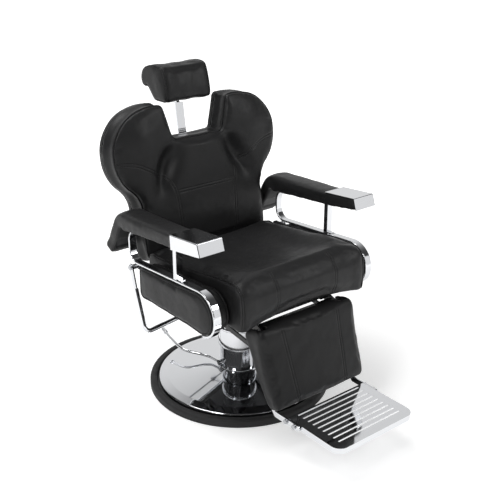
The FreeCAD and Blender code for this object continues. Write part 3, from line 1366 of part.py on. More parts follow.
def recline_handle():
    x = HANDLE_PLATE_X + HANDLE_PLATE_THICK / 2
    foot_y = HANDLE_PIVOT_Y - 24
    foot_z = HANDLE_PIVOT_Z - 78
    corners = [(Vector(x, foot_y, foot_z + 8), 0), (Vector(x, HANDLE_CORNER_Y, HANDLE_BAR_Z), 24),
               (Vector(x / 2.2, HANDLE_BOW_Y, HANDLE_BAR_Z + 1), 260),
               (Vector(-x / 2.2, HANDLE_BOW_Y, HANDLE_BAR_Z + 1), 260),
               (Vector(-x, HANDLE_CORNER_Y, HANDLE_BAR_Z), 24), (Vector(-x, foot_y, foot_z + 8), 0)]
    handle = round_rod(corners, HANDLE_ROD_RADIUS)
    plate = side_plate([(foot_y - 9, foot_z, 4), (foot_y + 9, foot_z, 4),
                        (HANDLE_PIVOT_Y + 13, HANDLE_PIVOT_Z, 4),
                        (HANDLE_PIVOT_Y + 9, HANDLE_PIVOT_Z + 13, 8),
                        (HANDLE_PIVOT_Y - 9, HANDLE_PIVOT_Z + 13, 8),
                        (HANDLE_PIVOT_Y - 13, HANDLE_PIVOT_Z, 4)],
                       HANDLE_PLATE_X, HANDLE_PLATE_X + HANDLE_PLATE_THICK)
    hole = cross_pin(PIVOT_RADIUS + RUNNING, HANDLE_PLATE_X, HANDLE_PLATE_X + HANDLE_PLATE_THICK,
                     HANDLE_PIVOT_Y, HANDLE_PIVOT_Z)
    plate = plate.cut(hole)
    return handle.fuse(plate).fuse(mirrored(plate))


def recline_rod():
    z = CYLINDER_AXIS_Z
    eye_y = CYLINDER_PIN_Y
    travel = 2 * CYLINDER_PIN_ARM * math.sin(HALF_SWING)
    piston_y = RECLINE_CYLINDER_FRONT_Y + travel + 20
    start = Vector(0, piston_y, z)
    rod = Part.makeCylinder(RECLINE_ROD_RADIUS, eye_y - 10 - piston_y, start, Vector(0, 1, 0))
    piston = Part.makeCylinder(RECLINE_CYLINDER_BORE - RUNNING, 10, start, Vector(0, 1, 0))
    half_slot = CROSSBAR_RADIUS + CYLINDER_PIN_DIP / 2 + 0.6
    eye = side_plate([(eye_y - 14, z - half_slot - 6, 6), (eye_y + 14, z - half_slot - 6, 6),
                      (eye_y + 14, z + half_slot + 6, 6), (eye_y - 14, z + half_slot + 6, 6)], -8, 8)
    slot = side_plate([(eye_y - CROSSBAR_RADIUS - 0.7, z - half_slot, 3),
                       (eye_y + CROSSBAR_RADIUS + 0.7, z - half_slot, 3),
                       (eye_y + CROSSBAR_RADIUS + 0.7, z + half_slot, 3),
                       (eye_y - CROSSBAR_RADIUS - 0.7, z + half_slot, 3)], -8, 8)
    return rod.fuse(piston).fuse(eye.cut(slot))


PIECES = [base_plate, base_ring, base_dome, foot_collar, lower_sleeve, oil_reservoir, cylinder_tube,
          ram_gland, plunger_guide, lever_bushing, pump_lever, lever_shaft, lever_tip, pump_plunger,
          plunger_spring, ram, ram_piston, upper_sleeve, sleeve_trim_ring, swivel_head, swivel_nut,
          chassis_top, chassis_sides, frame_bolts, seat_rails, cross_tubes, hinge_brackets, seat_board,
          seat_cushion, side_boards, inner_panels, outer_panels, arm_posts, arm_tail_plates,
          handle_pivots, recline_cylinder, back_cushion, back_board, back_levers, back_crossbar,
          headrest_socket, headrest_knob, headrest_bar, headrest_pad, headrest_plate, leg_cushion,
          leg_board, leg_levers, foot_links, foot_bolts, foot_plate, link_bars, recline_handle,
          recline_rod]
ARM_PIECES = [arm_frame, arm_pad, arm_cap]


def save(name, shape):
    """One piece, checked and written to its own file."""
    if not shape.isValid() or shape.Volume <= 0:
        print("not valid:", name, shape.Volume)
    shape.exportStep("parts/" + name + ".step")


def main():
    os.makedirs("parts", exist_ok=True)
    for piece in PIECES:
        save(piece.__name__, piece())
    for piece in ARM_PIECES:
        left = piece()
        save(piece.__name__ + "_left", left)
        save(piece.__name__ + "_right", mirrored(left))


main()
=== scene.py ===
"""Upholstery, trim, finishes and studio for a hydraulic barber chair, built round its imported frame."""

import json
import math

import bmesh
import bpy
import numpy as np
from bpy.props import FloatProperty, FloatVectorProperty, IntProperty, PointerProperty
from bpy.types import Operator, Panel, PropertyGroup
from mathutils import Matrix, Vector, noise
from mathutils.bvhtree import BVHTree
from mathutils.kdtree import KDTree

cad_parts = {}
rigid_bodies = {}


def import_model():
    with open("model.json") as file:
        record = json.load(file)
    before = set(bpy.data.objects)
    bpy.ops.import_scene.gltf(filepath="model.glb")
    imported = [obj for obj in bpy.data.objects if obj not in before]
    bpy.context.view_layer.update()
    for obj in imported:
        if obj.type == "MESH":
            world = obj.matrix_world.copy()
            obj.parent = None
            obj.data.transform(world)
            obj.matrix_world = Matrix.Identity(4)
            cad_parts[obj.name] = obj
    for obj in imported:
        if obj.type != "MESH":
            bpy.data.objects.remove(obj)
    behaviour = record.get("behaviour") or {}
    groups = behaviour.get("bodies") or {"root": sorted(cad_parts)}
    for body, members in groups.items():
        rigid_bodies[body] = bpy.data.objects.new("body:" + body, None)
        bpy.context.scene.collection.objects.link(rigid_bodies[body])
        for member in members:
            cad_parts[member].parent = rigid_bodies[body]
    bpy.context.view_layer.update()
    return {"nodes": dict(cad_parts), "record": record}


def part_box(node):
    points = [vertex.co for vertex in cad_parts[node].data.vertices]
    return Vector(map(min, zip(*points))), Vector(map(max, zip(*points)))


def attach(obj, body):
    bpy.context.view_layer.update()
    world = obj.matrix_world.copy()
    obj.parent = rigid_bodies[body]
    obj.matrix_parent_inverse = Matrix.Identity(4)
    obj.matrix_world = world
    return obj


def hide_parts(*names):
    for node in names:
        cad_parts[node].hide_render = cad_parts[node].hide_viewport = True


bl_info = {
    "name": "Barber chair dressing",
    "version": (1, 0, 0),
    "blender": (4, 5, 0),
    "location": "View3D > Sidebar > Barber chair",
    "description": "Padding, seams, trim, finishes and studio for a hydraulic barber chair",
    "category": "Object",
}

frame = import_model()

# Directions of the leaning back and of the leg rest, in the chair's own frame.
BACK_LEAN = math.radians(8.0)
BACK_UP = Vector((0, math.sin(BACK_LEAN), math.cos(BACK_LEAN)))
BACK_REARWARD = Vector((0, math.cos(BACK_LEAN), -math.sin(BACK_LEAN)))
BACK_FOOT = Vector((0, 0.1756, 0.470))
LEG_LEAN = math.radians(17.7)
LEG_DOWN = Vector((0, -math.sin(LEG_LEAN), -math.cos(LEG_LEAN)))
LEG_FORWARD = Vector((0, -math.cos(LEG_LEAN), math.sin(LEG_LEAN)))
LEG_TOP = Vector((0, -0.371, 0.393))
SIDEWAYS = Vector((1, 0, 0))

# Hinge ears of the back, and the slots in the cushion in which they turn.
BACK_PIVOT = (0.225, 0.450)
EAR_X = 0.166
EAR_ROOM_RADIUS = 0.0205
EAR_ROOM_WIDTH = 0.0115

# Where each cover is fixed to its board. Between the two values it goes from free to held or back.
SEAT_FLANK_X = (0.255, 0.266)
SEAT_FLANK_HOLD = 0.8
SEAT_BASE_Z = (0.417, 0.445)
SEAT_REAR_Y = (0.13, 0.165)
BACK_BOARD_DEPTH = (0.02, 0.055)
HEADREST_BOARD_Y = (0.33, 0.37)
LEG_BOARD_DEPTH = (0.02, 0.05)
PANEL_BOARD_SHARE = (0.35, 0.8)
ARM_FRONT = (0.12, 0.135)

# Hollows pressed into the covers, bulges where the depth is below zero: place, run of the hollow,
# reach along it, reach across it, depth. Places on the back are given by x and z.
SEAT_PRESSES = (((0, -0.07, 0.54), (1, 0, 0), 0.17, 0.11, 0.013),
                ((0, -0.296, 0.58), (1, 0, 0), 0.22, 0.045, -0.006))
BACK_PRESSES = ((0.146, 0.805, (0.42, -0.12, -0.89), 0.095, 0.04, 0.024),
                (0.178, 0.742, (0.2, -0.1, -0.9), 0.03, 0.026, 0.006),
                (0.238, 0.91, (0, 0.14, 0.99), 0.07, 0.06, -0.013),
                (0.25, 0.70, (0.3, 0.14, 0.9), 0.06, 0.045, -0.006))
LUMBAR_PRESS = (0, 0.60, (1, 0, 0), 0.13, 0.06, -0.009)
HOLLOW_PLACE = (0.152, 0.803)
HOLLOW_REACH = 0.15
BACK_PROUD = 0.03

# Welts: the seat's run round its two sides, down to a height and back to a depth.
SEAT_WELT_X = 0.259
SEAT_WELT_LOW = 0.424
SEAT_WELT_REAR = 0.168
BACK_WELT_DEPTH = 0.001
HEADREST_WELT_INSET = 0.007
PANEL_WELT_SHARE = 0.16

# Seams on the sitter's left, by points on the cover (seat) or by x and z (back).
SEAT_SEAM = ((0.125, -0.33, 0.584), (0.125, -0.352, 0.572), (0.125, -0.366, 0.54),
             (0.125, -0.366, 0.49), (0.125, -0.362, 0.44))
SEAT_SEWN_FROM = (0, 0.88, -0.47)
LOBE_SEAM = ((0.343, 0.836), (0.305, 0.833), (0.269, 0.823), (0.228, 0.802), (0.195, 0.782),
             (0.172, 0.772))
UPRIGHT_SEAM = ((0.158, 0.768), (0.139, 0.74), (0.128, 0.705), (0.124, 0.66), (0.122, 0.61),
                (0.121, 0.56), (0.12, 0.52))
CROSS_SEAM = ((-0.12, 0.708), (0, 0.709), (0.12, 0.708))
LEG_SEAM_X = 0.120
LEG_SEAM_TAPER = 0.016
LEG_SEAM_TOP = 0.004
LEG_SEAM_LENGTH = 0.25
LEG_SEWN_FROM = -LEG_FORWARD + LEG_DOWN * 0.3

# Side panels: node, name of the cover, and how far out its board and its face lie.
PANELS = (("outer_panels", "outer_panel_covers", 0.314, 0.348),
          ("inner_panels", "inner_panel_covers", 0.304, 0.272))

# The cover's cloth, without gravity, since the real one is stretched over foam.
CLOTH = {"quality": 4, "mass": 0.35, "tension_stiffness": 18.0, "compression_stiffness": 18.0,
         "shear_stiffness": 6.0, "bending_stiffness": 1.2, "use_pressure": True}

# Modelling: merging distances, steps along lines, and widths in shares of the welt's radius.
SMOOTH_ANGLE = math.radians(40.0)
COVER_MERGE = 0.00001
OUTLINE_MERGE = 0.0004
WAVE_LENGTH = 0.055
RIPPLE = 0.4
FEWEST_POINTS = 12
WELT_STEP = 1.6
WELT_REFINED = 2.6
WELT_DIP = 1.15
MARK_STEP = 0.003
ROW_STEP = 0.002
ROW_REFINED = 0.006
ROW_DIP = 0.0021
RAY_REACH = 0.4
STITCH_SHARE = 0.44

# Where most of a pattern's values lie.
PATTERN_RANGE = (0.3, 0.7)

# Studio.
WHITE = (1.0, 1.0, 1.0, 1.0)
FLOOR_SIZE = 60.0
FLOOR_DROP = 0.0005
FLOOR_FADE = (0.9, 3.4)
MIRRORED_FLOOR = 0.65
BRIGHT_SIDE = (0.616, 0.788, -0.35)
BRIGHT_SIDE_EDGE = (-0.15, 0.75)
DARK_SIDE = 0.055
CARD_TARGET = (0, 0, 0.6)
SENSOR_WIDTH = 36.0
FARTHEST_SEEN = 200.0


def length_property(name, description, default, low, high):
    return FloatProperty(name=name, description=description, default=default, min=low, max=high,
                         unit="LENGTH")


def amount_property(name, description, default, high):
    return FloatProperty(name=name, description=description, default=default, min=0.0, max=high)


def power_property(name, description, default):
    return FloatProperty(name=name, description=description, default=default, min=0.0, max=5000.0,
                         subtype="POWER", unit="POWER")


def angle_property(name, description, degrees):
    return FloatProperty(name=name, description=description, default=math.radians(degrees),
                         subtype="ANGLE", unit="ROTATION")


def colour_property(name, description, default):
    return FloatVectorProperty(name=name, description=description, default=default, min=0.0, max=1.0,
                               subtype="COLOR")


class PaddingSizes(PropertyGroup):
    grid: length_property("Cloth grid", "Size of one square of the padded cover", 0.006, 0.003, 0.02)
    pressure: amount_property("Stuffing pressure", "How hard the foam pushes on the cover", 1.4, 20.0)
    steps: IntProperty(name="Settling steps", description="Frames for which the cover settles",
                       default=20, min=1, max=60)
    seat_swell: length_property("Seat swell", "Most that the covers of the seat and the back may move",
                                0.005, 0.0, 0.04)
    panel_swell: length_property("Panel swell",
                                 "Most that the covers of the side panels and the leg rest may move",
                                 0.004, 0.0, 0.04)
    pad_swell: length_property("Pad swell",
                               "Most that the covers of the arm pads and the headrest may move",
                               0.002, 0.0, 0.04)
    hollow_rounds: IntProperty(name="Hollow rounds", default=60, min=0, max=400,
                               description="Smoothing of the hollows beside the notch")
    crease: length_property("Softness", "Height of the cover's slow waves", 0.0011, 0.0, 0.01)


class SewingSizes(PropertyGroup):
    welt_radius: length_property("Welt radius", "Radius of the piping cord in its cover",
                                 0.0031, 0.001, 0.01)
    welt_groove: length_property("Welt groove", "Depth to which the cover dips at the piping",
                                 0.0030, 0.0, 0.01)
    seam_gap: length_property("Seam gap", "Distance between the two rows of stitches",
                              0.0095, 0.002, 0.03)
    seam_groove: length_property("Seam groove", "Depth to which the cover dips at a row",
                                 0.0013, 0.0, 0.01)
    stitch_pitch: length_property("Stitch pitch", "Distance from one stitch to the next",
                                  0.0062, 0.002, 0.02)
    stitch_radius: length_property("Thread radius", "Radius of the sewing thread",
                                   0.00065, 0.0002, 0.003)


class ChairColours(PropertyGroup):
    vinyl: colour_property("Vinyl", "Colour of the cover", (0.0155, 0.0155, 0.016))
    thread: colour_property("Thread", "Colour of the sewing thread", (0.012, 0.012, 0.012))
    chrome: colour_property("Chrome", "Tint of the chromed steel", (0.79, 0.80, 0.82))
    steel: colour_property("Steel", "Tint of the bare steel", (0.52, 0.53, 0.55))
    paint: colour_property("Paint", "Colour of the painted steel", (0.014, 0.014, 0.015))
    rubber: colour_property("Rubber", "Colour of the floor ring", (0.013, 0.013, 0.0135))
    plastic: colour_property("Plastic", "Colour of the knob", (0.01, 0.01, 0.011))
    dust_cloth: colour_property("Dust cloth", "Colour of the cloth under the boards",
                                (0.011, 0.011, 0.012))
    floor: colour_property("Floor", "Colour of the studio floor", (0.86, 0.86, 0.86))


class StudioSettings(PropertyGroup):
    camera_place: FloatVectorProperty(name="Camera", description="Where the camera stands",
                                      subtype="TRANSLATION", unit="LENGTH",
                                      default=(-1.7407, -2.2257, 1.6886))
    camera_turn: angle_property("Turn", "Camera's turn from straight ahead", -38.84)
    camera_pitch: angle_property("Pitch", "How far the camera looks down", 22.51)
    lens: FloatProperty(name="Lens", description="Focal length for a 36 mm wide picture",
                        default=62.66, min=10.0, max=300.0)
    fill: amount_property("Fill light", "Strength of the even light all round", 0.4, 5.0)
    overhead: power_property("Overhead light", "Power of the large soft lamp above", 165.0)
    side: power_property("Side light", "Power of the soft lamp on the sitter's right", 50.0)
    front: power_property("Front light", "Power of the soft lamp in front on the sitter's left", 18.0)
    card: amount_property("White card", "Brightness of the card that metal reflects", 0.85, 5.0)
    glow: amount_property("Floor glow", "Brightness added to the floor near the chair", 0.42, 1.0)
    backdrop: amount_property("Backdrop", "Brightness of the room's bright side in reflections",
                              0.8, 1.0)


# Selecting, and running the modelling tools on one piece at a time.

def deselect():
    if bpy.context.object and bpy.context.object.mode != "OBJECT":
        bpy.ops.object.mode_set(mode="OBJECT")
    for thing in bpy.context.scene.objects:
        thing.select_set(False)


def only(piece):
    deselect()
    piece.select_set(True)
    bpy.context.view_layer.objects.active = piece


def apply_modifier(piece, kind, **settings):
    only(piece)
    modifier = piece.modifiers.new(kind.lower(), kind)
    for key, value in settings.items():
        setattr(modifier, key, value)
    bpy.ops.object.modifier_apply(modifier=modifier.name)


def at_origin(piece, name):
    only(piece)
    piece.name = name
    piece.data.name = name
    bpy.ops.object.transform_apply(location=True, rotation=True, scale=True)
    return piece


def join(pieces, name):
    deselect()
    for piece in pieces:
        piece.select_set(True)
    bpy.context.view_layer.objects.active = pieces[0]
    if len(pieces) > 1:
        bpy.ops.object.join()
    return at_origin(bpy.context.object, name)


def linked(name, data):
    """A new object with this mesh or curve, in the scene and alone selected."""
    piece = bpy.data.objects.new(name, data)
    bpy.context.scene.collection.objects.link(piece)
    only(piece)
    return piece


def vertex_values(piece, key):
    flat = np.empty(len(piece.data.vertices) * 3, np.float32)
    piece.data.vertices.foreach_get(key, flat)
    return flat.reshape(-1, 3).astype(float)


def points_of(piece):
    return vertex_values(piece, "co")


def normals_of(piece):
    return vertex_values(piece, "normal")


def move_points(piece, points):
    piece.data.vertices.foreach_set("co", points.astype(np.float32).ravel())
    piece.data.update()


def finish_piece(piece, name, body, material):
    only(piece)
    piece.name = name
    piece.data.name = name
    bpy.ops.object.shade_smooth_by_angle(angle=SMOOTH_ANGLE)
    piece.data.materials.clear()
    piece.data.materials.append(material)
    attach(piece, body)


# Finishes. Patterns are in the chair's own coordinates, so they keep their real scale.

class Nodes:
    """The node tree of a material or world, and short ways to add nodes to it."""

    def __init__(self, owner):
        owner.use_nodes = True
        self.nodes = owner.node_tree.nodes
        self.links = owner.node_tree.links

    def node(self, kind, **settings):
        made = self.nodes.new(kind)
        for key, value in settings.items():
            if key in made.inputs:
                made.inputs[key].default_value = value
            else:
                setattr(made, key, value)
        return made

    def largest(self, first, second):
        return self.combine("MAXIMUM", first, second)

    def combine(self, operation, first, second):
        """Works out two values, of which the second may be a number."""
        made = self.node("ShaderNodeMath", operation=operation)
        self.links.new(first, made.inputs[0])
        if isinstance(second, float):
            made.inputs[1].default_value = second
        else:
            self.links.new(second, made.inputs[1])
        return made.outputs[0]

    def spread(self, value, start, end, low, high, interpolation="LINEAR"):
        """The value between start and end, spread from low to high."""
        made = self.node("ShaderNodeMapRange", interpolation_type=interpolation)
        for key, number in (("From Min", start), ("From Max", end), ("To Min", low), ("To Max", high)):
            made.inputs[key].default_value = number
        self.links.new(value, made.inputs["Value"])
        return made.outputs["Result"]


class Finish(Nodes):
    """One node material, and short ways to add patterns to it."""

    def __init__(self, name, colour, metallic, roughness):
        self.material = bpy.data.materials.new(name)
        super().__init__(self.material)
        self.colour = colour
        self.shader = self.nodes["Principled BSDF"]
        self.set("Base Color", (*colour, 1.0))
        self.set("Metallic", metallic)
        self.set("Roughness", roughness)
        self.place = self.nodes.new("ShaderNodeTexCoord")
        self.last_bump = None

    def set(self, key, value):
        self.shader.inputs[key].default_value = value

    def stretched(self, scale):
        mapping = self.node("ShaderNodeMapping", Scale=scale)
        self.links.new(self.place.outputs["Object"], mapping.inputs["Vector"])
        return mapping.outputs["Vector"]

    def pattern(self, kind, scale, source=None, output="Fac", **settings):
        made = self.node(kind, Scale=scale, **settings)
        self.links.new(source or self.place.outputs["Object"], made.inputs["Vector"])
        return made.outputs[output]

    def cloud(self, scale, **settings):
        return self.pattern("ShaderNodeTexNoise", scale, **settings)

    def tint(self, value, dark, light):
        """The value takes the finish's colour from dark to light times itself."""
        mix = self.node("ShaderNodeMix", data_type="RGBA")
        self.links.new(value, mix.inputs["Factor"])
        mix.inputs[6].default_value = (*shade(self.colour, dark), 1.0)
        mix.inputs[7].default_value = (*shade(self.colour, light), 1.0)
        self.links.new(mix.outputs[2], self.shader.inputs["Base Color"])

    def roughen(self, value, low, high):
        self.links.new(self.spread(value, *PATTERN_RANGE, low, high), self.shader.inputs["Roughness"])

    def bump(self, value, strength, distance, invert=False):
        made = self.node("ShaderNodeBump", Strength=strength, Distance=distance, invert=invert)
        self.links.new(value, made.inputs["Height"])
        if self.last_bump:
            self.links.new(self.last_bump.outputs["Normal"], made.inputs["Normal"])
        self.last_bump = made
        self.links.new(made.outputs["Normal"], self.shader.inputs["Normal"])


def shade(colour, factor):
    return tuple(channel * factor for channel in colour)


def vinyl_finish(name, colour, shine=0.42, grain=0.5):
    finish = Finish(name, colour, 0.0, shine)
    pebbles = finish.pattern("ShaderNodeTexVoronoi", 720.0, output="Distance", feature="F1",
                             Randomness=0.95)
    pores = finish.cloud(1500.0, Detail=3.0, Roughness=0.6)
    slow = finish.cloud(9.0, Detail=4.0, Roughness=0.55)
    rubbed = finish.cloud(38.0, Detail=5.0, Roughness=0.62)
    finish.tint(slow, 0.84, 1.2)
    finish.roughen(rubbed, shine - 0.05, shine + 0.08)
    finish.bump(rubbed, 0.16, 0.0012)
    finish.bump(pebbles, grain, 0.00028, invert=True)
    finish.bump(pores, grain * 0.4, 0.0001)
    finish.set("Specular IOR Level", 0.26)
    finish.set("Coat Weight", 0.04)
    finish.set("Coat Roughness", 0.3)


def thread_finish(colour):
    finish = Finish("sewing_thread", colour, 0.0, 0.62)
    twist = finish.pattern("ShaderNodeTexWave", 1400.0, bands_direction="DIAGONAL", Distortion=0.6)
    finish.tint(twist, 0.6, 1.5)
    finish.bump(twist, 0.4, 0.00012)
    finish.set("Sheen Weight", 0.2)


def chrome_finish(colour, shine=0.055):
    finish = Finish("bright_chrome", colour, 1.0, shine)
    wiped = finish.cloud(14.0, Detail=6.0, Roughness=0.6)
    hairlines = finish.cloud(900.0, source=finish.stretched((1.0, 1.0, 0.06)), Detail=2.0)
    waves = finish.cloud(6.0, Detail=1.0)
    finish.tint(wiped, 0.965, 1.0)
    finish.roughen(wiped, shine * 0.6, shine * 1.5)
    finish.bump(waves, 0.008, 0.004)
    finish.bump(hairlines, 0.05, 0.00002)


def steel_finish(colour, shine=0.3):
    finish = Finish("bare_steel", colour, 1.0, shine)
    brushing = finish.cloud(420.0, source=finish.stretched((1.0, 1.0, 0.05)), Detail=4.0, Roughness=0.7)
    oil = finish.cloud(22.0, Detail=4.0)
    finish.tint(oil, 0.8, 1.1)
    finish.roughen(brushing, shine - 0.08, shine + 0.12)
    finish.bump(brushing, 0.25, 0.00006)


def paint_finish(colour):
    finish = Finish("black_powder_coat", colour, 0.0, 0.36)
    peel = finish.cloud(620.0, Detail=2.0, Roughness=0.45)
    dust = finish.cloud(17.0, Detail=6.0, Roughness=0.65)
    finish.tint(dust, 0.85, 1.5)
    finish.roughen(dust, 0.3, 0.48)
    finish.bump(peel, 0.35, 0.00018)


def rubber_finish(colour):
    finish = Finish("moulded_rubber", colour, 0.0, 0.66)
    skin = finish.cloud(1100.0, Detail=3.0)
    scuffs = finish.cloud(26.0, Detail=8.0, Roughness=0.7)
    finish.tint(scuffs, 0.8, 1.7)
    finish.roughen(scuffs, 0.56, 0.78)
    finish.bump(skin, 0.3, 0.00015)


def plastic_finish(colour):
    finish = Finish("moulded_plastic", colour, 0.0, 0.24)
    haze = finish.cloud(60.0, Detail=4.0)
    finish.tint(haze, 0.85, 1.25)
    finish.roughen(haze, 0.2, 0.32)
    finish.bump(haze, 0.05, 0.0004)


def dust_cloth_finish(colour):
    finish = Finish("dust_cloth", colour, 0.0, 0.85)
    fluff = finish.cloud(35.0, Detail=6.0)
    finish.tint(fluff, 0.75, 1.5)
    for direction in ("X", "Z"):
        weave = finish.pattern("ShaderNodeTexWave", 260.0, bands_direction=direction, Distortion=0.8,
                               Detail=1.0)
        finish.bump(weave, 0.3, 0.0002)


# Padding: the cover starts as the plain solid, swells under the foam and is then sewn.

def cover_from(node, name):
    piece = linked(name, frame["nodes"][node].data.copy())
    piece.data.materials.clear()
    bpy.ops.object.mode_set(mode="EDIT")
    bpy.ops.mesh.select_all(action="SELECT")
    bpy.ops.mesh.remove_doubles(threshold=COVER_MERGE)
    bpy.ops.object.mode_set(mode="OBJECT")
    return piece


def settle(piece, most, held, shrink=0.0):
    """Swells the cover by cloth simulation. held(points) is 1 where the cover is fixed to its board."""
    sizes = bpy.context.scene.padding_sizes
    apply_modifier(piece, "REMESH", mode="VOXEL", voxel_size=sizes.grid, use_smooth_shade=True)
    apply_modifier(piece, "SMOOTH", factor=0.5, iterations=3)
    points = points_of(piece)
    start = points - normals_of(piece) * ((1.0 - held(points)) * shrink)[:, None]
    move_points(piece, start)
    only(piece)
    cloth = piece.modifiers.new("cover", "CLOTH")
    for key, value in CLOTH.items():
        setattr(cloth.settings, key, value)
    cloth.settings.uniform_pressure_force = sizes.pressure
    cloth.settings.effector_weights.gravity = 0.0
    cloth.collision_settings.use_collision = False
    cloth.point_cache.frame_start = 1
    cloth.point_cache.frame_end = sizes.steps
    for step in range(1, sizes.steps + 1):
        bpy.context.scene.frame_set(step)
    bpy.ops.object.modifier_apply(modifier=cloth.name)
    bpy.context.scene.frame_set(1)
    moved = points_of(piece) - start
    reach = np.linalg.norm(moved, axis=1)
    share = np.minimum(1.0, most / np.maximum(reach, 1e-9))
    moved *= (share * (1.0 - held(start)))[:, None]
    move_points(piece, start + moved)
    apply_modifier(piece, "SUBSURF", levels=1, render_levels=1)
    waves(piece, sizes.crease, held)


def waves(piece, height, held):
    """Slow uneven waves with finer ripples, as in a cover stretched by hand."""
    points = points_of(piece)
    normals = normals_of(piece)
    free = 1.0 - held(points)
    rise = np.empty(len(points))
    for index, point in enumerate(points):
        slow = noise.noise(Vector(point) / WAVE_LENGTH)
        rise[index] = slow + RIPPLE * noise.noise(Vector(point) / (WAVE_LENGTH * RIPPLE))
    move_points(piece, points + normals * (rise * free * height)[:, None])


def press(piece, centre, along, reach, across, depth, direction):
    """Presses a long soft hollow into the cover, as a hand would."""
    points = points_of(piece)
    offset = points - np.array(centre)
    along = np.array(along) / np.linalg.norm(along)
    direction = np.array(direction)
    lengthwise = offset @ along
    flat = offset - np.outer(offset @ direction, direction) - np.outer(lengthwise, along)
    sideways = np.linalg.norm(flat, axis=1)
    weight = np.exp(-(lengthwise / reach) ** 2 - (sideways / across) ** 2)
    facing = np.clip(-(normals_of(piece) @ direction), 0.0, 1.0)
    move_points(piece, points + np.outer(weight * facing * depth, direction))


def soften(piece, centres, reach, rounds):
    """Smooths the cover round the centres, most in their middle."""
    points = points_of(piece)
    weight = np.zeros(len(points))
    for centre in centres:
        distance = np.linalg.norm(points - np.array(centre), axis=1)
        weight = np.maximum(weight, 1.0 - ramp(distance, reach * 0.6, reach))
    group = piece.vertex_groups.new(name="softened")
    for index in np.nonzero(weight > 0.0)[0]:
        group.add([int(index)], float(weight[index]), "REPLACE")
    apply_modifier(piece, "SMOOTH", factor=0.5, iterations=rounds, vertex_group=group.name)
    piece.vertex_groups.clear()


def clear_slot(piece, centre, radius, width):
    """Cuts the slot in which a hinge ear turns, which the cover's coarse grid had closed."""
    deselect()
    bpy.ops.mesh.primitive_cylinder_add(vertices=48, radius=radius, depth=width, location=centre,
                                        rotation=(0, math.radians(90), 0))
    room = bpy.context.object
    apply_modifier(piece, "BOOLEAN", object=room, operation="DIFFERENCE", solver="EXACT")
    bpy.data.objects.remove(room)


def ramp(values, start, end):
    """0 up to start, 1 from end on, smooth between."""
    share = np.clip((values - start) / (end - start), 0.0, 1.0)
    return share * share * (3.0 - 2.0 * share)


# Sewing: welts lie in a cut through the cover, seams run over it.

def surface_of(piece):
    return BVHTree.FromObject(piece, bpy.context.evaluated_depsgraph_get())


def cut_line(piece, point, normal):
    """Copy of the cover's outline where a flat plane cuts it, as loose edges."""
    line = linked("outline", piece.data.copy())
    bpy.ops.object.mode_set(mode="EDIT")
    bpy.ops.mesh.select_mode(type="EDGE")
    bpy.ops.mesh.select_all(action="SELECT")
    bpy.ops.mesh.bisect(plane_co=point, plane_no=normal, threshold=0.000001)
    bpy.ops.mesh.select_all(action="INVERT")
    bpy.ops.mesh.delete(type="EDGE")
    bpy.ops.mesh.select_all(action="SELECT")
    bpy.ops.mesh.remove_doubles(threshold=OUTLINE_MERGE)
    bpy.ops.object.mode_set(mode="OBJECT")
    return line


def chains_of(line):
    """The points of each run of edges, in order, and whether it closes."""
    mesh = bmesh.new()
    mesh.from_mesh(line.data)
    chains = []
    left = set(mesh.verts)
    while left:
        ends = [v for v in left if len(v.link_edges) == 1]
        start = min(ends or left, key=lambda v: v.index)
        chain = [start]
        left.discard(start)
        while True:
            onward = [e.other_vert(chain[-1]) for e in chain[-1].link_edges]
            onward = [v for v in onward if v in left]
            if not onward:
                break
            step = min(onward, key=lambda v: v.index)
            chain.append(step)
            left.discard(step)
        closed = any(e.other_vert(chain[-1]) is start for e in chain[-1].link_edges)
        chains.append(([v.co.copy() for v in chain], closed and len(chain) > 2))
    mesh.free()
    return chains


def evened(points, closed, step, rounds=3):
    """The same line with evenly spaced points, its jaggedness smoothed out."""
    line = np.array([tuple(p) for p in points])
    if closed:
        line = np.vstack([line, line[:1]])
    lengths = np.concatenate([[0.0], np.cumsum(np.linalg.norm(np.diff(line, axis=0), axis=1))])
    count = max(4, round(lengths[-1] / step))
    at = np.linspace(0.0, lengths[-1], count + 1)
    even = np.column_stack([np.interp(at, lengths, line[:, axis]) for axis in range(3)])
    if closed:
        even = even[:-1]
    for _ in range(rounds):
        if closed:
            even = (np.roll(even, 1, axis=0) + 2.0 * even + np.roll(even, -1, axis=0)) / 4.0
        else:
            even[1:-1] = (even[:-2] + 2.0 * even[1:-1] + even[2:]) / 4.0
    return even


def run_through(points, closed, name):
    """A curve of straight runs through the points."""
    curve = bpy.data.curves.new(name, "CURVE")
    curve.dimensions = "3D"
    spline = curve.splines.new("POLY")
    spline.points.add(len(points) - 1)
    for target, place in zip(spline.points, points):
        target.co = (*place, 1.0)
    spline.use_cyclic_u = closed
    return linked(name, curve)


def tube_along(points, closed, radius, name):
    """A round cord along the points, made as a bevelled curve and kept as a mesh."""
    cord = run_through(points, closed, name)
    cord.data.bevel_depth = radius
    cord.data.bevel_resolution = 3
    cord.data.use_fill_caps = not closed
    bpy.ops.object.convert(target="MESH")
    return bpy.context.object


def tree_of(lines):
    """The points of all lines, ready to be asked for the nearest."""
    tree = KDTree(sum(len(line) for line in lines))
    for line in lines:
        for place in line:
            tree.insert(place, 0)
    tree.balance()
    return tree


def groove(piece, lines, depth, width):
    """The cover dips along the lines."""
    tree = tree_of(lines)
    points = points_of(piece)
    normals = normals_of(piece)
    dip = np.zeros(len(points))
    for index, point in enumerate(points):
        distance = tree.find(point)[2]
        if distance < width * 2.5:
            dip[index] = depth * math.exp(-(distance / width) ** 2)
    move_points(piece, points - normals * dip[:, None])


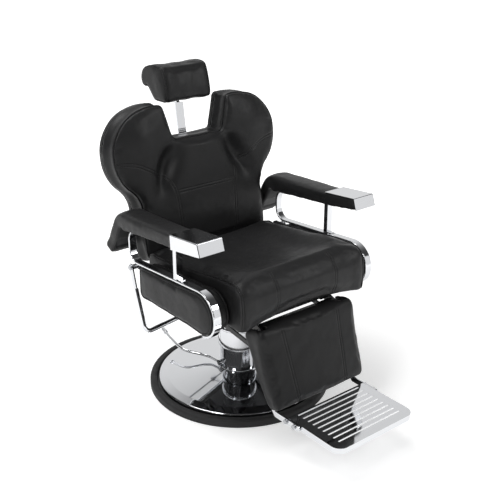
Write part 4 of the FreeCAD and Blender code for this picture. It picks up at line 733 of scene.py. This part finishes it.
def refine(piece, lines, reach):
    """Finer squares where the cover is sewn, so that the dip has its real width."""
    tree = tree_of(lines)
    only(piece)
    bpy.ops.object.mode_set(mode="EDIT")
    bpy.ops.mesh.select_mode(type="FACE")
    bpy.ops.mesh.select_all(action="DESELECT")
    mesh = bmesh.from_edit_mesh(piece.data)
    for face in mesh.faces:
        face.select_set(tree.find(face.calc_center_median())[2] < reach)
    bmesh.update_edit_mesh(piece.data)
    bpy.ops.mesh.subdivide(number_cuts=1, smoothness=0.0)
    bpy.ops.object.mode_set(mode="OBJECT")


def welt(piece, point, normal, name, keep=None):
    """Piping in the cover where the plane cuts it. keep(place) limits it to a part of the outline."""
    sizes = bpy.context.scene.sewing_sizes
    line = cut_line(piece, point, normal)
    cords = []
    paths = []
    for chain, closed in chains_of(line):
        if len(chain) < FEWEST_POINTS:
            continue
        path = evened(chain, closed, sizes.welt_radius * WELT_STEP)
        if keep is not None:
            kept = [keep(place) for place in path]
            if not all(kept):
                if closed:
                    turn = next(i for i in range(len(kept)) if kept[i] and not kept[i - 1])
                    path = np.roll(path, -turn, axis=0)
                    kept = kept[turn:] + kept[:turn]
                path = path[np.array(kept)]
                closed = False
        if len(path) < FEWEST_POINTS:
            continue
        paths.append(path)
        cords.append(tube_along(path, closed, sizes.welt_radius, name))
    bpy.data.objects.remove(line)
    refine(piece, paths, sizes.welt_radius * WELT_REFINED)
    groove(piece, paths, sizes.welt_groove, sizes.welt_radius * WELT_DIP)
    return join(cords, name)


def curve_through(marks):
    """Smooth line through a few marked points."""
    marks = [Vector(mark) for mark in marks]
    marks = [marks[0] * 2 - marks[1]] + marks + [marks[-1] * 2 - marks[-2]]
    line = []
    for before, start, end, after in zip(marks, marks[1:], marks[2:], marks[3:]):
        count = max(2, int((end - start).length / MARK_STEP))
        for i in range(count):
            t = i / count
            place = 0.5 * (2 * start + (end - before) * t
                           + (2 * before - 5 * start + 4 * end - after) * t * t
                           + (3 * start - before - 3 * end + after) * t * t * t)
            line.append(place)
    line.append(marks[-2])
    return line


def laid_on(surface, line, direction):
    """The line's points moved along direction until they lie on the cover."""
    direction = Vector(direction).normalized()
    laid = []
    for place in line:
        hit = surface.ray_cast(Vector(place) - direction * RAY_REACH, direction)[0]
        if hit is not None:
            laid.append(hit)
    return laid


def beside(line, direction, distance):
    """The same line, moved sideways."""
    direction = Vector(direction)
    moved = []
    for index, place in enumerate(line):
        ahead = line[min(index + 1, len(line) - 1)]
        behind = line[max(index - 1, 0)]
        side = (ahead - behind).cross(direction).normalized()
        moved.append(place + side * distance)
    return moved


def sew(piece, seams, direction, name):
    """Double rows of stitches over the cover. Each seam is its marked points."""
    sizes = bpy.context.scene.sewing_sizes
    surface = surface_of(piece)
    rows = []
    for marks in seams:
        middle = curve_through(marks)
        for side in (-0.5, 0.5):
            row = laid_on(surface, beside(middle, direction, side * sizes.seam_gap), direction)
            if len(row) > 3:
                rows.append(evened(row, False, ROW_STEP, rounds=2))
    refine(piece, rows, ROW_REFINED)
    groove(piece, rows, sizes.seam_groove, ROW_DIP)
    surface = surface_of(piece)
    return join([stitches_along(laid_on(surface, row, direction), name) for row in rows], name)


def stitches_along(line, name):
    """One modelled stitch, repeated along the line and bent with it."""
    sizes = bpy.context.scene.sewing_sizes
    guide = run_through(line, False, "sewing_line")
    deselect()
    bpy.ops.mesh.primitive_uv_sphere_add(segments=6, ring_count=5, radius=1.0)
    stitch = bpy.context.object
    stitch.scale = (sizes.stitch_pitch * STITCH_SHARE, sizes.stitch_radius, sizes.stitch_radius)
    stitch.location = (sizes.stitch_pitch * 0.5, 0.0, 0.0)
    at_origin(stitch, name)
    apply_modifier(stitch, "ARRAY", fit_type="FIT_CURVE", curve=guide, use_relative_offset=False,
                   use_constant_offset=True, constant_offset_displace=(sizes.stitch_pitch, 0.0, 0.0))
    apply_modifier(stitch, "CURVE", object=guide, deform_axis="POS_X")
    bpy.data.objects.remove(guide)
    return stitch


# The operators, one for each group of like pieces.

def finishes():
    """The materials by name; each is made once."""
    made = bpy.data.materials
    if "black_vinyl" not in made:
        colours = bpy.context.scene.chair_colours
        vinyl_finish("black_vinyl", tuple(colours.vinyl))
        vinyl_finish("welt_vinyl", shade(tuple(colours.vinyl), 0.9), shine=0.4, grain=0.3)
        thread_finish(tuple(colours.thread))
        chrome_finish(tuple(colours.chrome))
        steel_finish(tuple(colours.steel))
        paint_finish(tuple(colours.paint))
        rubber_finish(tuple(colours.rubber))
        plastic_finish(tuple(colours.plastic))
        dust_cloth_finish(tuple(colours.dust_cloth))
    return made


class CHAIR_OT_finish_frame(Operator):
    """Gives every piece of the frame the finish of its material, and two covered boards vinyl"""

    bl_idname = "chair.finish_frame"
    bl_label = "Finish the frame"

    def execute(self, context):
        made = finishes()
        by_slot = {"vinyl": "black_vinyl", "chrome": "bright_chrome", "steel": "bare_steel",
                   "brass": "bare_steel", "painted_steel": "black_powder_coat",
                   "rubber": "moulded_rubber", "board": "dust_cloth", "plastic": "moulded_plastic"}
        by_node = {"back_board": "black_vinyl", "leg_board": "black_vinyl"}
        for part in frame["record"]["subparts"]:
            materials = frame["nodes"][part["node"]].data.materials
            materials.clear()
            materials.append(made[by_node.get(part["node"], by_slot[part["material_slot"]])])
        return {"FINISHED"}


def both_sides(points):
    """The marked points on the sitter's left, and the same on the right."""
    return [points, [(-x, y, z) for x, y, z in points]]


def on_back(x, z):
    """A place on the back's front, by its height and its distance from the middle."""
    along = (z - BACK_FOOT.z) / math.cos(BACK_LEAN)
    return BACK_FOOT + BACK_UP * along - BACK_REARWARD * BACK_PROUD + SIDEWAYS * x


class CHAIR_OT_seat(Operator):
    """Pads the seat, pipes its sides and sews its front"""

    bl_idname = "chair.pad_seat"
    bl_label = "Pad the seat"

    def execute(self, context):
        made = finishes()
        sizes = context.scene.padding_sizes

        def held(points):
            flanks = ramp(np.abs(points[:, 0]), *SEAT_FLANK_X)
            base = 1.0 - ramp(points[:, 2], *SEAT_BASE_Z)
            rear = ramp(points[:, 1], *SEAT_REAR_Y)
            return np.clip(np.maximum.reduce([base, rear, SEAT_FLANK_HOLD * flanks]), 0.0, 1.0)

        cover = cover_from("seat_cushion", "seat_cover")
        settle(cover, sizes.seat_swell, held, shrink=0.003)
        for centre, along, reach, across, depth in SEAT_PRESSES:
            press(cover, centre, along, reach, across, depth, (0, 0, -1))
        welts = [welt(cover, (side * SEAT_WELT_X, 0, 0), SIDEWAYS, "seat_welt",
                      keep=lambda p: p[2] > SEAT_WELT_LOW and p[1] < SEAT_WELT_REAR) for side in (-1, 1)]
        thread = sew(cover, both_sides(SEAT_SEAM), SEAT_SEWN_FROM, "seat_stitches")
        finish_piece(cover, "seat_cover", "seat", made["black_vinyl"])
        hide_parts("seat_cushion")
        finish_piece(join(welts, "seat_welts"), "seat_welts", "seat", made["welt_vinyl"])
        finish_piece(thread, "seat_stitches", "seat", made["sewing_thread"])
        return {"FINISHED"}


class CHAIR_OT_back(Operator):
    """Pads the winged back, presses its hollows, pipes its edge and sews its seams"""

    bl_idname = "chair.pad_back"
    bl_label = "Pad the back"

    def execute(self, context):
        made = finishes()
        sizes = context.scene.padding_sizes
        inward = np.array(BACK_REARWARD)

        def held(points):
            return ramp((points - np.array(BACK_FOOT)) @ inward, *BACK_BOARD_DEPTH)

        def pressed(side, x, z, along, reach, across, depth):
            run = (side * along[0], *along[1:])
            press(cover, on_back(side * x, z), run, reach, across, depth, inward)

        cover = cover_from("back_cushion", "back_cover")
        settle(cover, sizes.seat_swell, held, shrink=0.002)
        for side in (-1, 1):
            clear_slot(cover, (side * EAR_X, *BACK_PIVOT), EAR_ROOM_RADIUS, EAR_ROOM_WIDTH)
        hollow_x, hollow_z = HOLLOW_PLACE
        soften(cover, [on_back(side * hollow_x, hollow_z) for side in (-1, 1)], HOLLOW_REACH,
               sizes.hollow_rounds)
        edge = welt(cover, BACK_FOOT + BACK_REARWARD * BACK_WELT_DEPTH, BACK_REARWARD, "back_welt")
        for side in (-1, 1):
            for values in BACK_PRESSES:
                pressed(side, *values)
        pressed(1, *LUMBAR_PRESS)
        lobes, uprights, crossing = ([on_back(x, z) for x, z in seam]
                                     for seam in (LOBE_SEAM, UPRIGHT_SEAM, CROSS_SEAM))
        thread = sew(cover, both_sides(lobes) + both_sides(uprights) + [crossing], BACK_REARWARD,
                     "back_stitches")
        finish_piece(cover, "back_cover", "back", made["black_vinyl"])
        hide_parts("back_cushion")
        finish_piece(edge, "back_welt", "back", made["welt_vinyl"])
        finish_piece(thread, "back_stitches", "back", made["sewing_thread"])
        return {"FINISHED"}


class CHAIR_OT_headrest(Operator):
    """Pads the headrest and pipes its ends"""

    bl_idname = "chair.pad_headrest"
    bl_label = "Pad the headrest"

    def execute(self, context):
        made = finishes()
        sizes = context.scene.padding_sizes
        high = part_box("headrest_pad")[1]
        edge_x = high.x - HEADREST_WELT_INSET
        cover = cover_from("headrest_pad", "headrest_cover")
        settle(cover, sizes.pad_swell, lambda points: ramp(points[:, 1], *HEADREST_BOARD_Y), shrink=0.001)
        welts = [welt(cover, (side * edge_x, 0, 0), SIDEWAYS, "headrest_welt") for side in (-1, 1)]
        finish_piece(cover, "headrest_cover", "headrest", made["black_vinyl"])
        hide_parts("headrest_pad")
        edges = join(welts, "headrest_welts")
        finish_piece(edges, "headrest_welts", "headrest", made["welt_vinyl"])
        return {"FINISHED"}


class CHAIR_OT_leg_rest(Operator):
    """Pads the leg rest and sews its two seams"""

    bl_idname = "chair.pad_leg_rest"
    bl_label = "Pad the leg rest"

    def execute(self, context):
        made = finishes()
        sizes = context.scene.padding_sizes

        def held(points):
            return ramp((np.array(LEG_TOP) - points) @ np.array(LEG_FORWARD), *LEG_BOARD_DEPTH)

        cover = cover_from("leg_cushion", "leg_cover")
        settle(cover, sizes.panel_swell, held, shrink=0.001)
        seams = []
        for side in (-1, 1):
            marks = []
            for share in (0.0, 0.25, 0.5, 0.75, 1.0):
                x = LEG_SEAM_X - LEG_SEAM_TAPER * share
                down = LEG_SEAM_TOP + LEG_SEAM_LENGTH * share
                marks.append(LEG_TOP + LEG_DOWN * down + SIDEWAYS * side * x)
            seams.append(marks)
        thread = sew(cover, seams, LEG_SEWN_FROM, "leg_stitches")
        finish_piece(cover, "leg_cover", "leg_rest", made["black_vinyl"])
        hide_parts("leg_cushion")
        finish_piece(thread, "leg_stitches", "leg_rest", made["sewing_thread"])
        return {"FINISHED"}


class CHAIR_OT_side_panels(Operator):
    """Pads the inner and outer side panels"""

    bl_idname = "chair.pad_side_panels"
    bl_label = "Pad the side panels"

    def execute(self, context):
        made = finishes()
        sizes = context.scene.padding_sizes
        for node, name, fixed, face in PANELS:
            cover = cover_from(node, name)

            def held(points):
                away = np.abs(np.abs(points[:, 0]) - fixed) / abs(face - fixed)
                return 1.0 - ramp(away, *PANEL_BOARD_SHARE)

            settle(cover, sizes.panel_swell, held)
            at = face + (fixed - face) * PANEL_WELT_SHARE
            welts = [welt(cover, (side * at, 0, 0), SIDEWAYS, "panel_welt") for side in (-1, 1)]
            finish_piece(cover, name, "seat", made["black_vinyl"])
            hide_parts(node)
            rim = name.replace("covers", "welts")
            finish_piece(join(welts, rim), rim, "seat", made["welt_vinyl"])
        return {"FINISHED"}


class CHAIR_OT_arm_pads(Operator):
    """Pads the arm rests"""

    bl_idname = "chair.pad_arms"
    bl_label = "Pad the arms"

    def execute(self, context):
        made = finishes()
        sizes = context.scene.padding_sizes
        for side in ("left", "right"):
            cover = cover_from(f"arm_pad_{side}", f"arm_cover_{side}")
            settle(cover, sizes.pad_swell, lambda points: ramp(-points[:, 1], *ARM_FRONT), shrink=0.001)
            finish_piece(cover, f"arm_cover_{side}", "seat", made["black_vinyl"])
            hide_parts(f"arm_pad_{side}")
        return {"FINISHED"}


def lit_matte(name, colour, roughness):
    """Matte finish without a shine, ready to glow white."""
    finish = Finish(name, colour, 0.0, roughness)
    finish.set("Specular IOR Level", 0.0)
    finish.set("Emission Color", WHITE)
    return finish


def floor_material(name, colour, brightness):
    """Matte ground that the camera, metal and glass see as a plain pale backdrop with its shadows."""
    finish = lit_matte(name, colour, 0.9)
    rays = finish.node("ShaderNodeLightPath").outputs
    mirrored = finish.combine("MULTIPLY", rays["Is Glossy Ray"], MIRRORED_FLOOR)
    seen = finish.largest(finish.largest(rays["Is Camera Ray"], mirrored), rays["Is Transmission Ray"])
    away = finish.node("ShaderNodeVectorMath", operation="LENGTH")
    finish.links.new(finish.place.outputs["Object"], away.inputs[0])
    far = finish.spread(away.outputs["Value"], *FLOOR_FADE, brightness, 1.0, "SMOOTHSTEP")
    finish.links.new(finish.combine("MULTIPLY", seen, far), finish.shader.inputs["Emission Strength"])
    return finish.material


def facing(piece, place, target, axis):
    """Puts the piece in its place with the named axis toward the target."""
    piece.location = place
    piece.rotation_mode = "QUATERNION"
    piece.rotation_quaternion = (Vector(target) - Vector(place)).to_track_quat(axis, "Y")


def soft_lamp(name, place, target, size, power):
    deselect()
    bpy.ops.object.light_add(type="AREA")
    lamp = bpy.context.object
    lamp.name = name
    lamp.data.shape = "RECTANGLE"
    lamp.data.size, lamp.data.size_y = size
    lamp.data.energy = power
    facing(lamp, place, target, "-Z")


def card(name, place, size, brightness=0.0):
    """A dark or white card that only shows in reflections, as beside a photographed chrome piece."""
    deselect()
    bpy.ops.mesh.primitive_plane_add(size=1.0)
    panel = bpy.context.object
    panel.scale = (*size, 1.0)
    facing(panel, place, CARD_TARGET, "Z")
    at_origin(panel, name)
    finish = lit_matte(name, (0.01, 0.01, 0.01), 1.0)
    finish.set("Emission Strength", brightness)
    panel.data.materials.append(finish.material)
    panel.visible_camera = False
    panel.visible_diffuse = False
    panel.visible_shadow = False
    panel.visible_transmission = False


def studio_world(studio):
    """Even light for the chair, a plain white background, and a bright and a dark side to reflect."""
    world = bpy.data.worlds.new("studio_world")
    tree = Nodes(world)
    tree.nodes.clear()
    rays = tree.node("ShaderNodeLightPath").outputs
    toward = tree.node("ShaderNodeVectorMath", operation="DOT_PRODUCT")
    toward.inputs[1].default_value = BRIGHT_SIDE
    tree.links.new(tree.node("ShaderNodeTexCoord").outputs["Generated"], toward.inputs[0])
    room = tree.spread(toward.outputs["Value"], *BRIGHT_SIDE_EDGE, DARK_SIDE, studio.backdrop,
                       "SMOOTHSTEP")
    even = tree.node("ShaderNodeBackground", Strength=studio.fill)
    seen = tree.node("ShaderNodeBackground", Color=WHITE)
    tree.links.new(tree.largest(room, rays["Is Camera Ray"]), seen.inputs["Strength"])
    sharp = tree.largest(rays["Is Camera Ray"], rays["Is Glossy Ray"])
    mix = tree.node("ShaderNodeMixShader")
    for entry, value in zip(mix.inputs, (sharp, even.outputs[0], seen.outputs[0])):
        tree.links.new(value, entry)
    tree.links.new(mix.outputs[0], tree.node("ShaderNodeOutputWorld").inputs["Surface"])
    return world


class CHAIR_OT_studio(Operator):
    """Sets up the floor, the light and the camera"""

    bl_idname = "chair.studio"
    bl_label = "Set up the studio"

    def execute(self, context):
        scene = context.scene
        studio = scene.studio_settings
        deselect()
        bpy.ops.mesh.primitive_plane_add(size=FLOOR_SIZE, location=(0, 0, -FLOOR_DROP))
        floor = at_origin(context.object, "studio_floor")
        floor.data.materials.append(floor_material("studio_floor", tuple(scene.chair_colours.floor),
                                                   studio.glow))
        scene.world = studio_world(studio)

        soft_lamp("overhead_lamp", (-1.3, 1.1, 5.2), (0, 0.1, 0.0), (3.0, 3.0), studio.overhead)
        soft_lamp("side_lamp", (-3.4, -1.2, 3.4), (0, 0, 0.6), (1.0, 1.8), studio.side)
        soft_lamp("front_lamp", (1.6, -2.4, 2.3), (0, 0.2, 0.8), (1.2, 0.9), studio.front)
        card("dark_card_right", (4.6, -0.6, 1.2), (1.2, 3.0))
        card("dark_card_left", (-3.4, 3.4, 1.4), (1.2, 3.2))
        card("white_card", (2.7, -3.7, 1.1), (1.8, 3.0), studio.card)

        camera = linked("studio_camera", bpy.data.cameras.new("studio_camera"))
        camera.location = studio.camera_place
        camera.rotation_euler = (math.pi / 2 - studio.camera_pitch, 0.0, studio.camera_turn)
        camera.data.lens = studio.lens
        camera.data.sensor_width = SENSOR_WIDTH
        camera.data.clip_end = FARTHEST_SEEN
        scene.camera = camera
        scene.view_settings.view_transform = "Standard"
        return {"FINISHED"}


OPERATORS = (CHAIR_OT_finish_frame, CHAIR_OT_seat, CHAIR_OT_back, CHAIR_OT_headrest, CHAIR_OT_leg_rest,
             CHAIR_OT_side_panels, CHAIR_OT_arm_pads, CHAIR_OT_studio)


class CHAIR_PT_dressing(Panel):
    """Sizes, colours and steps of the barber chair"""

    bl_idname = "CHAIR_PT_dressing"
    bl_label = "Barber chair"
    bl_space_type = "VIEW_3D"
    bl_region_type = "UI"
    bl_category = "Barber chair"

    def draw(self, context):
        for group in (context.scene.padding_sizes, context.scene.sewing_sizes,
                      context.scene.chair_colours, context.scene.studio_settings):
            column = self.layout.box().column()
            for name in group.bl_rna.properties.keys():
                if name not in ("rna_type", "name"):
                    column.prop(group, name)
        for operator in OPERATORS:
            self.layout.operator(operator.bl_idname)


GROUPS = {"padding_sizes": PaddingSizes, "sewing_sizes": SewingSizes, "chair_colours": ChairColours,
          "studio_settings": StudioSettings}


def register():
    for name, group in GROUPS.items():
        bpy.utils.register_class(group)
        setattr(bpy.types.Scene, name, PointerProperty(type=group))
    for operator in OPERATORS:
        bpy.utils.register_class(operator)
    bpy.utils.register_class(CHAIR_PT_dressing)


def unregister():
    bpy.utils.unregister_class(CHAIR_PT_dressing)
    for operator in reversed(OPERATORS):
        bpy.utils.unregister_class(operator)
    for name, group in GROUPS.items():
        delattr(bpy.types.Scene, name)
        bpy.utils.unregister_class(group)


def main():
    register()
    for operator in OPERATORS:
        group, name = operator.bl_idname.split(".")
        getattr(getattr(bpy.ops, group), name)()


if __name__ == "__main__":
    main()
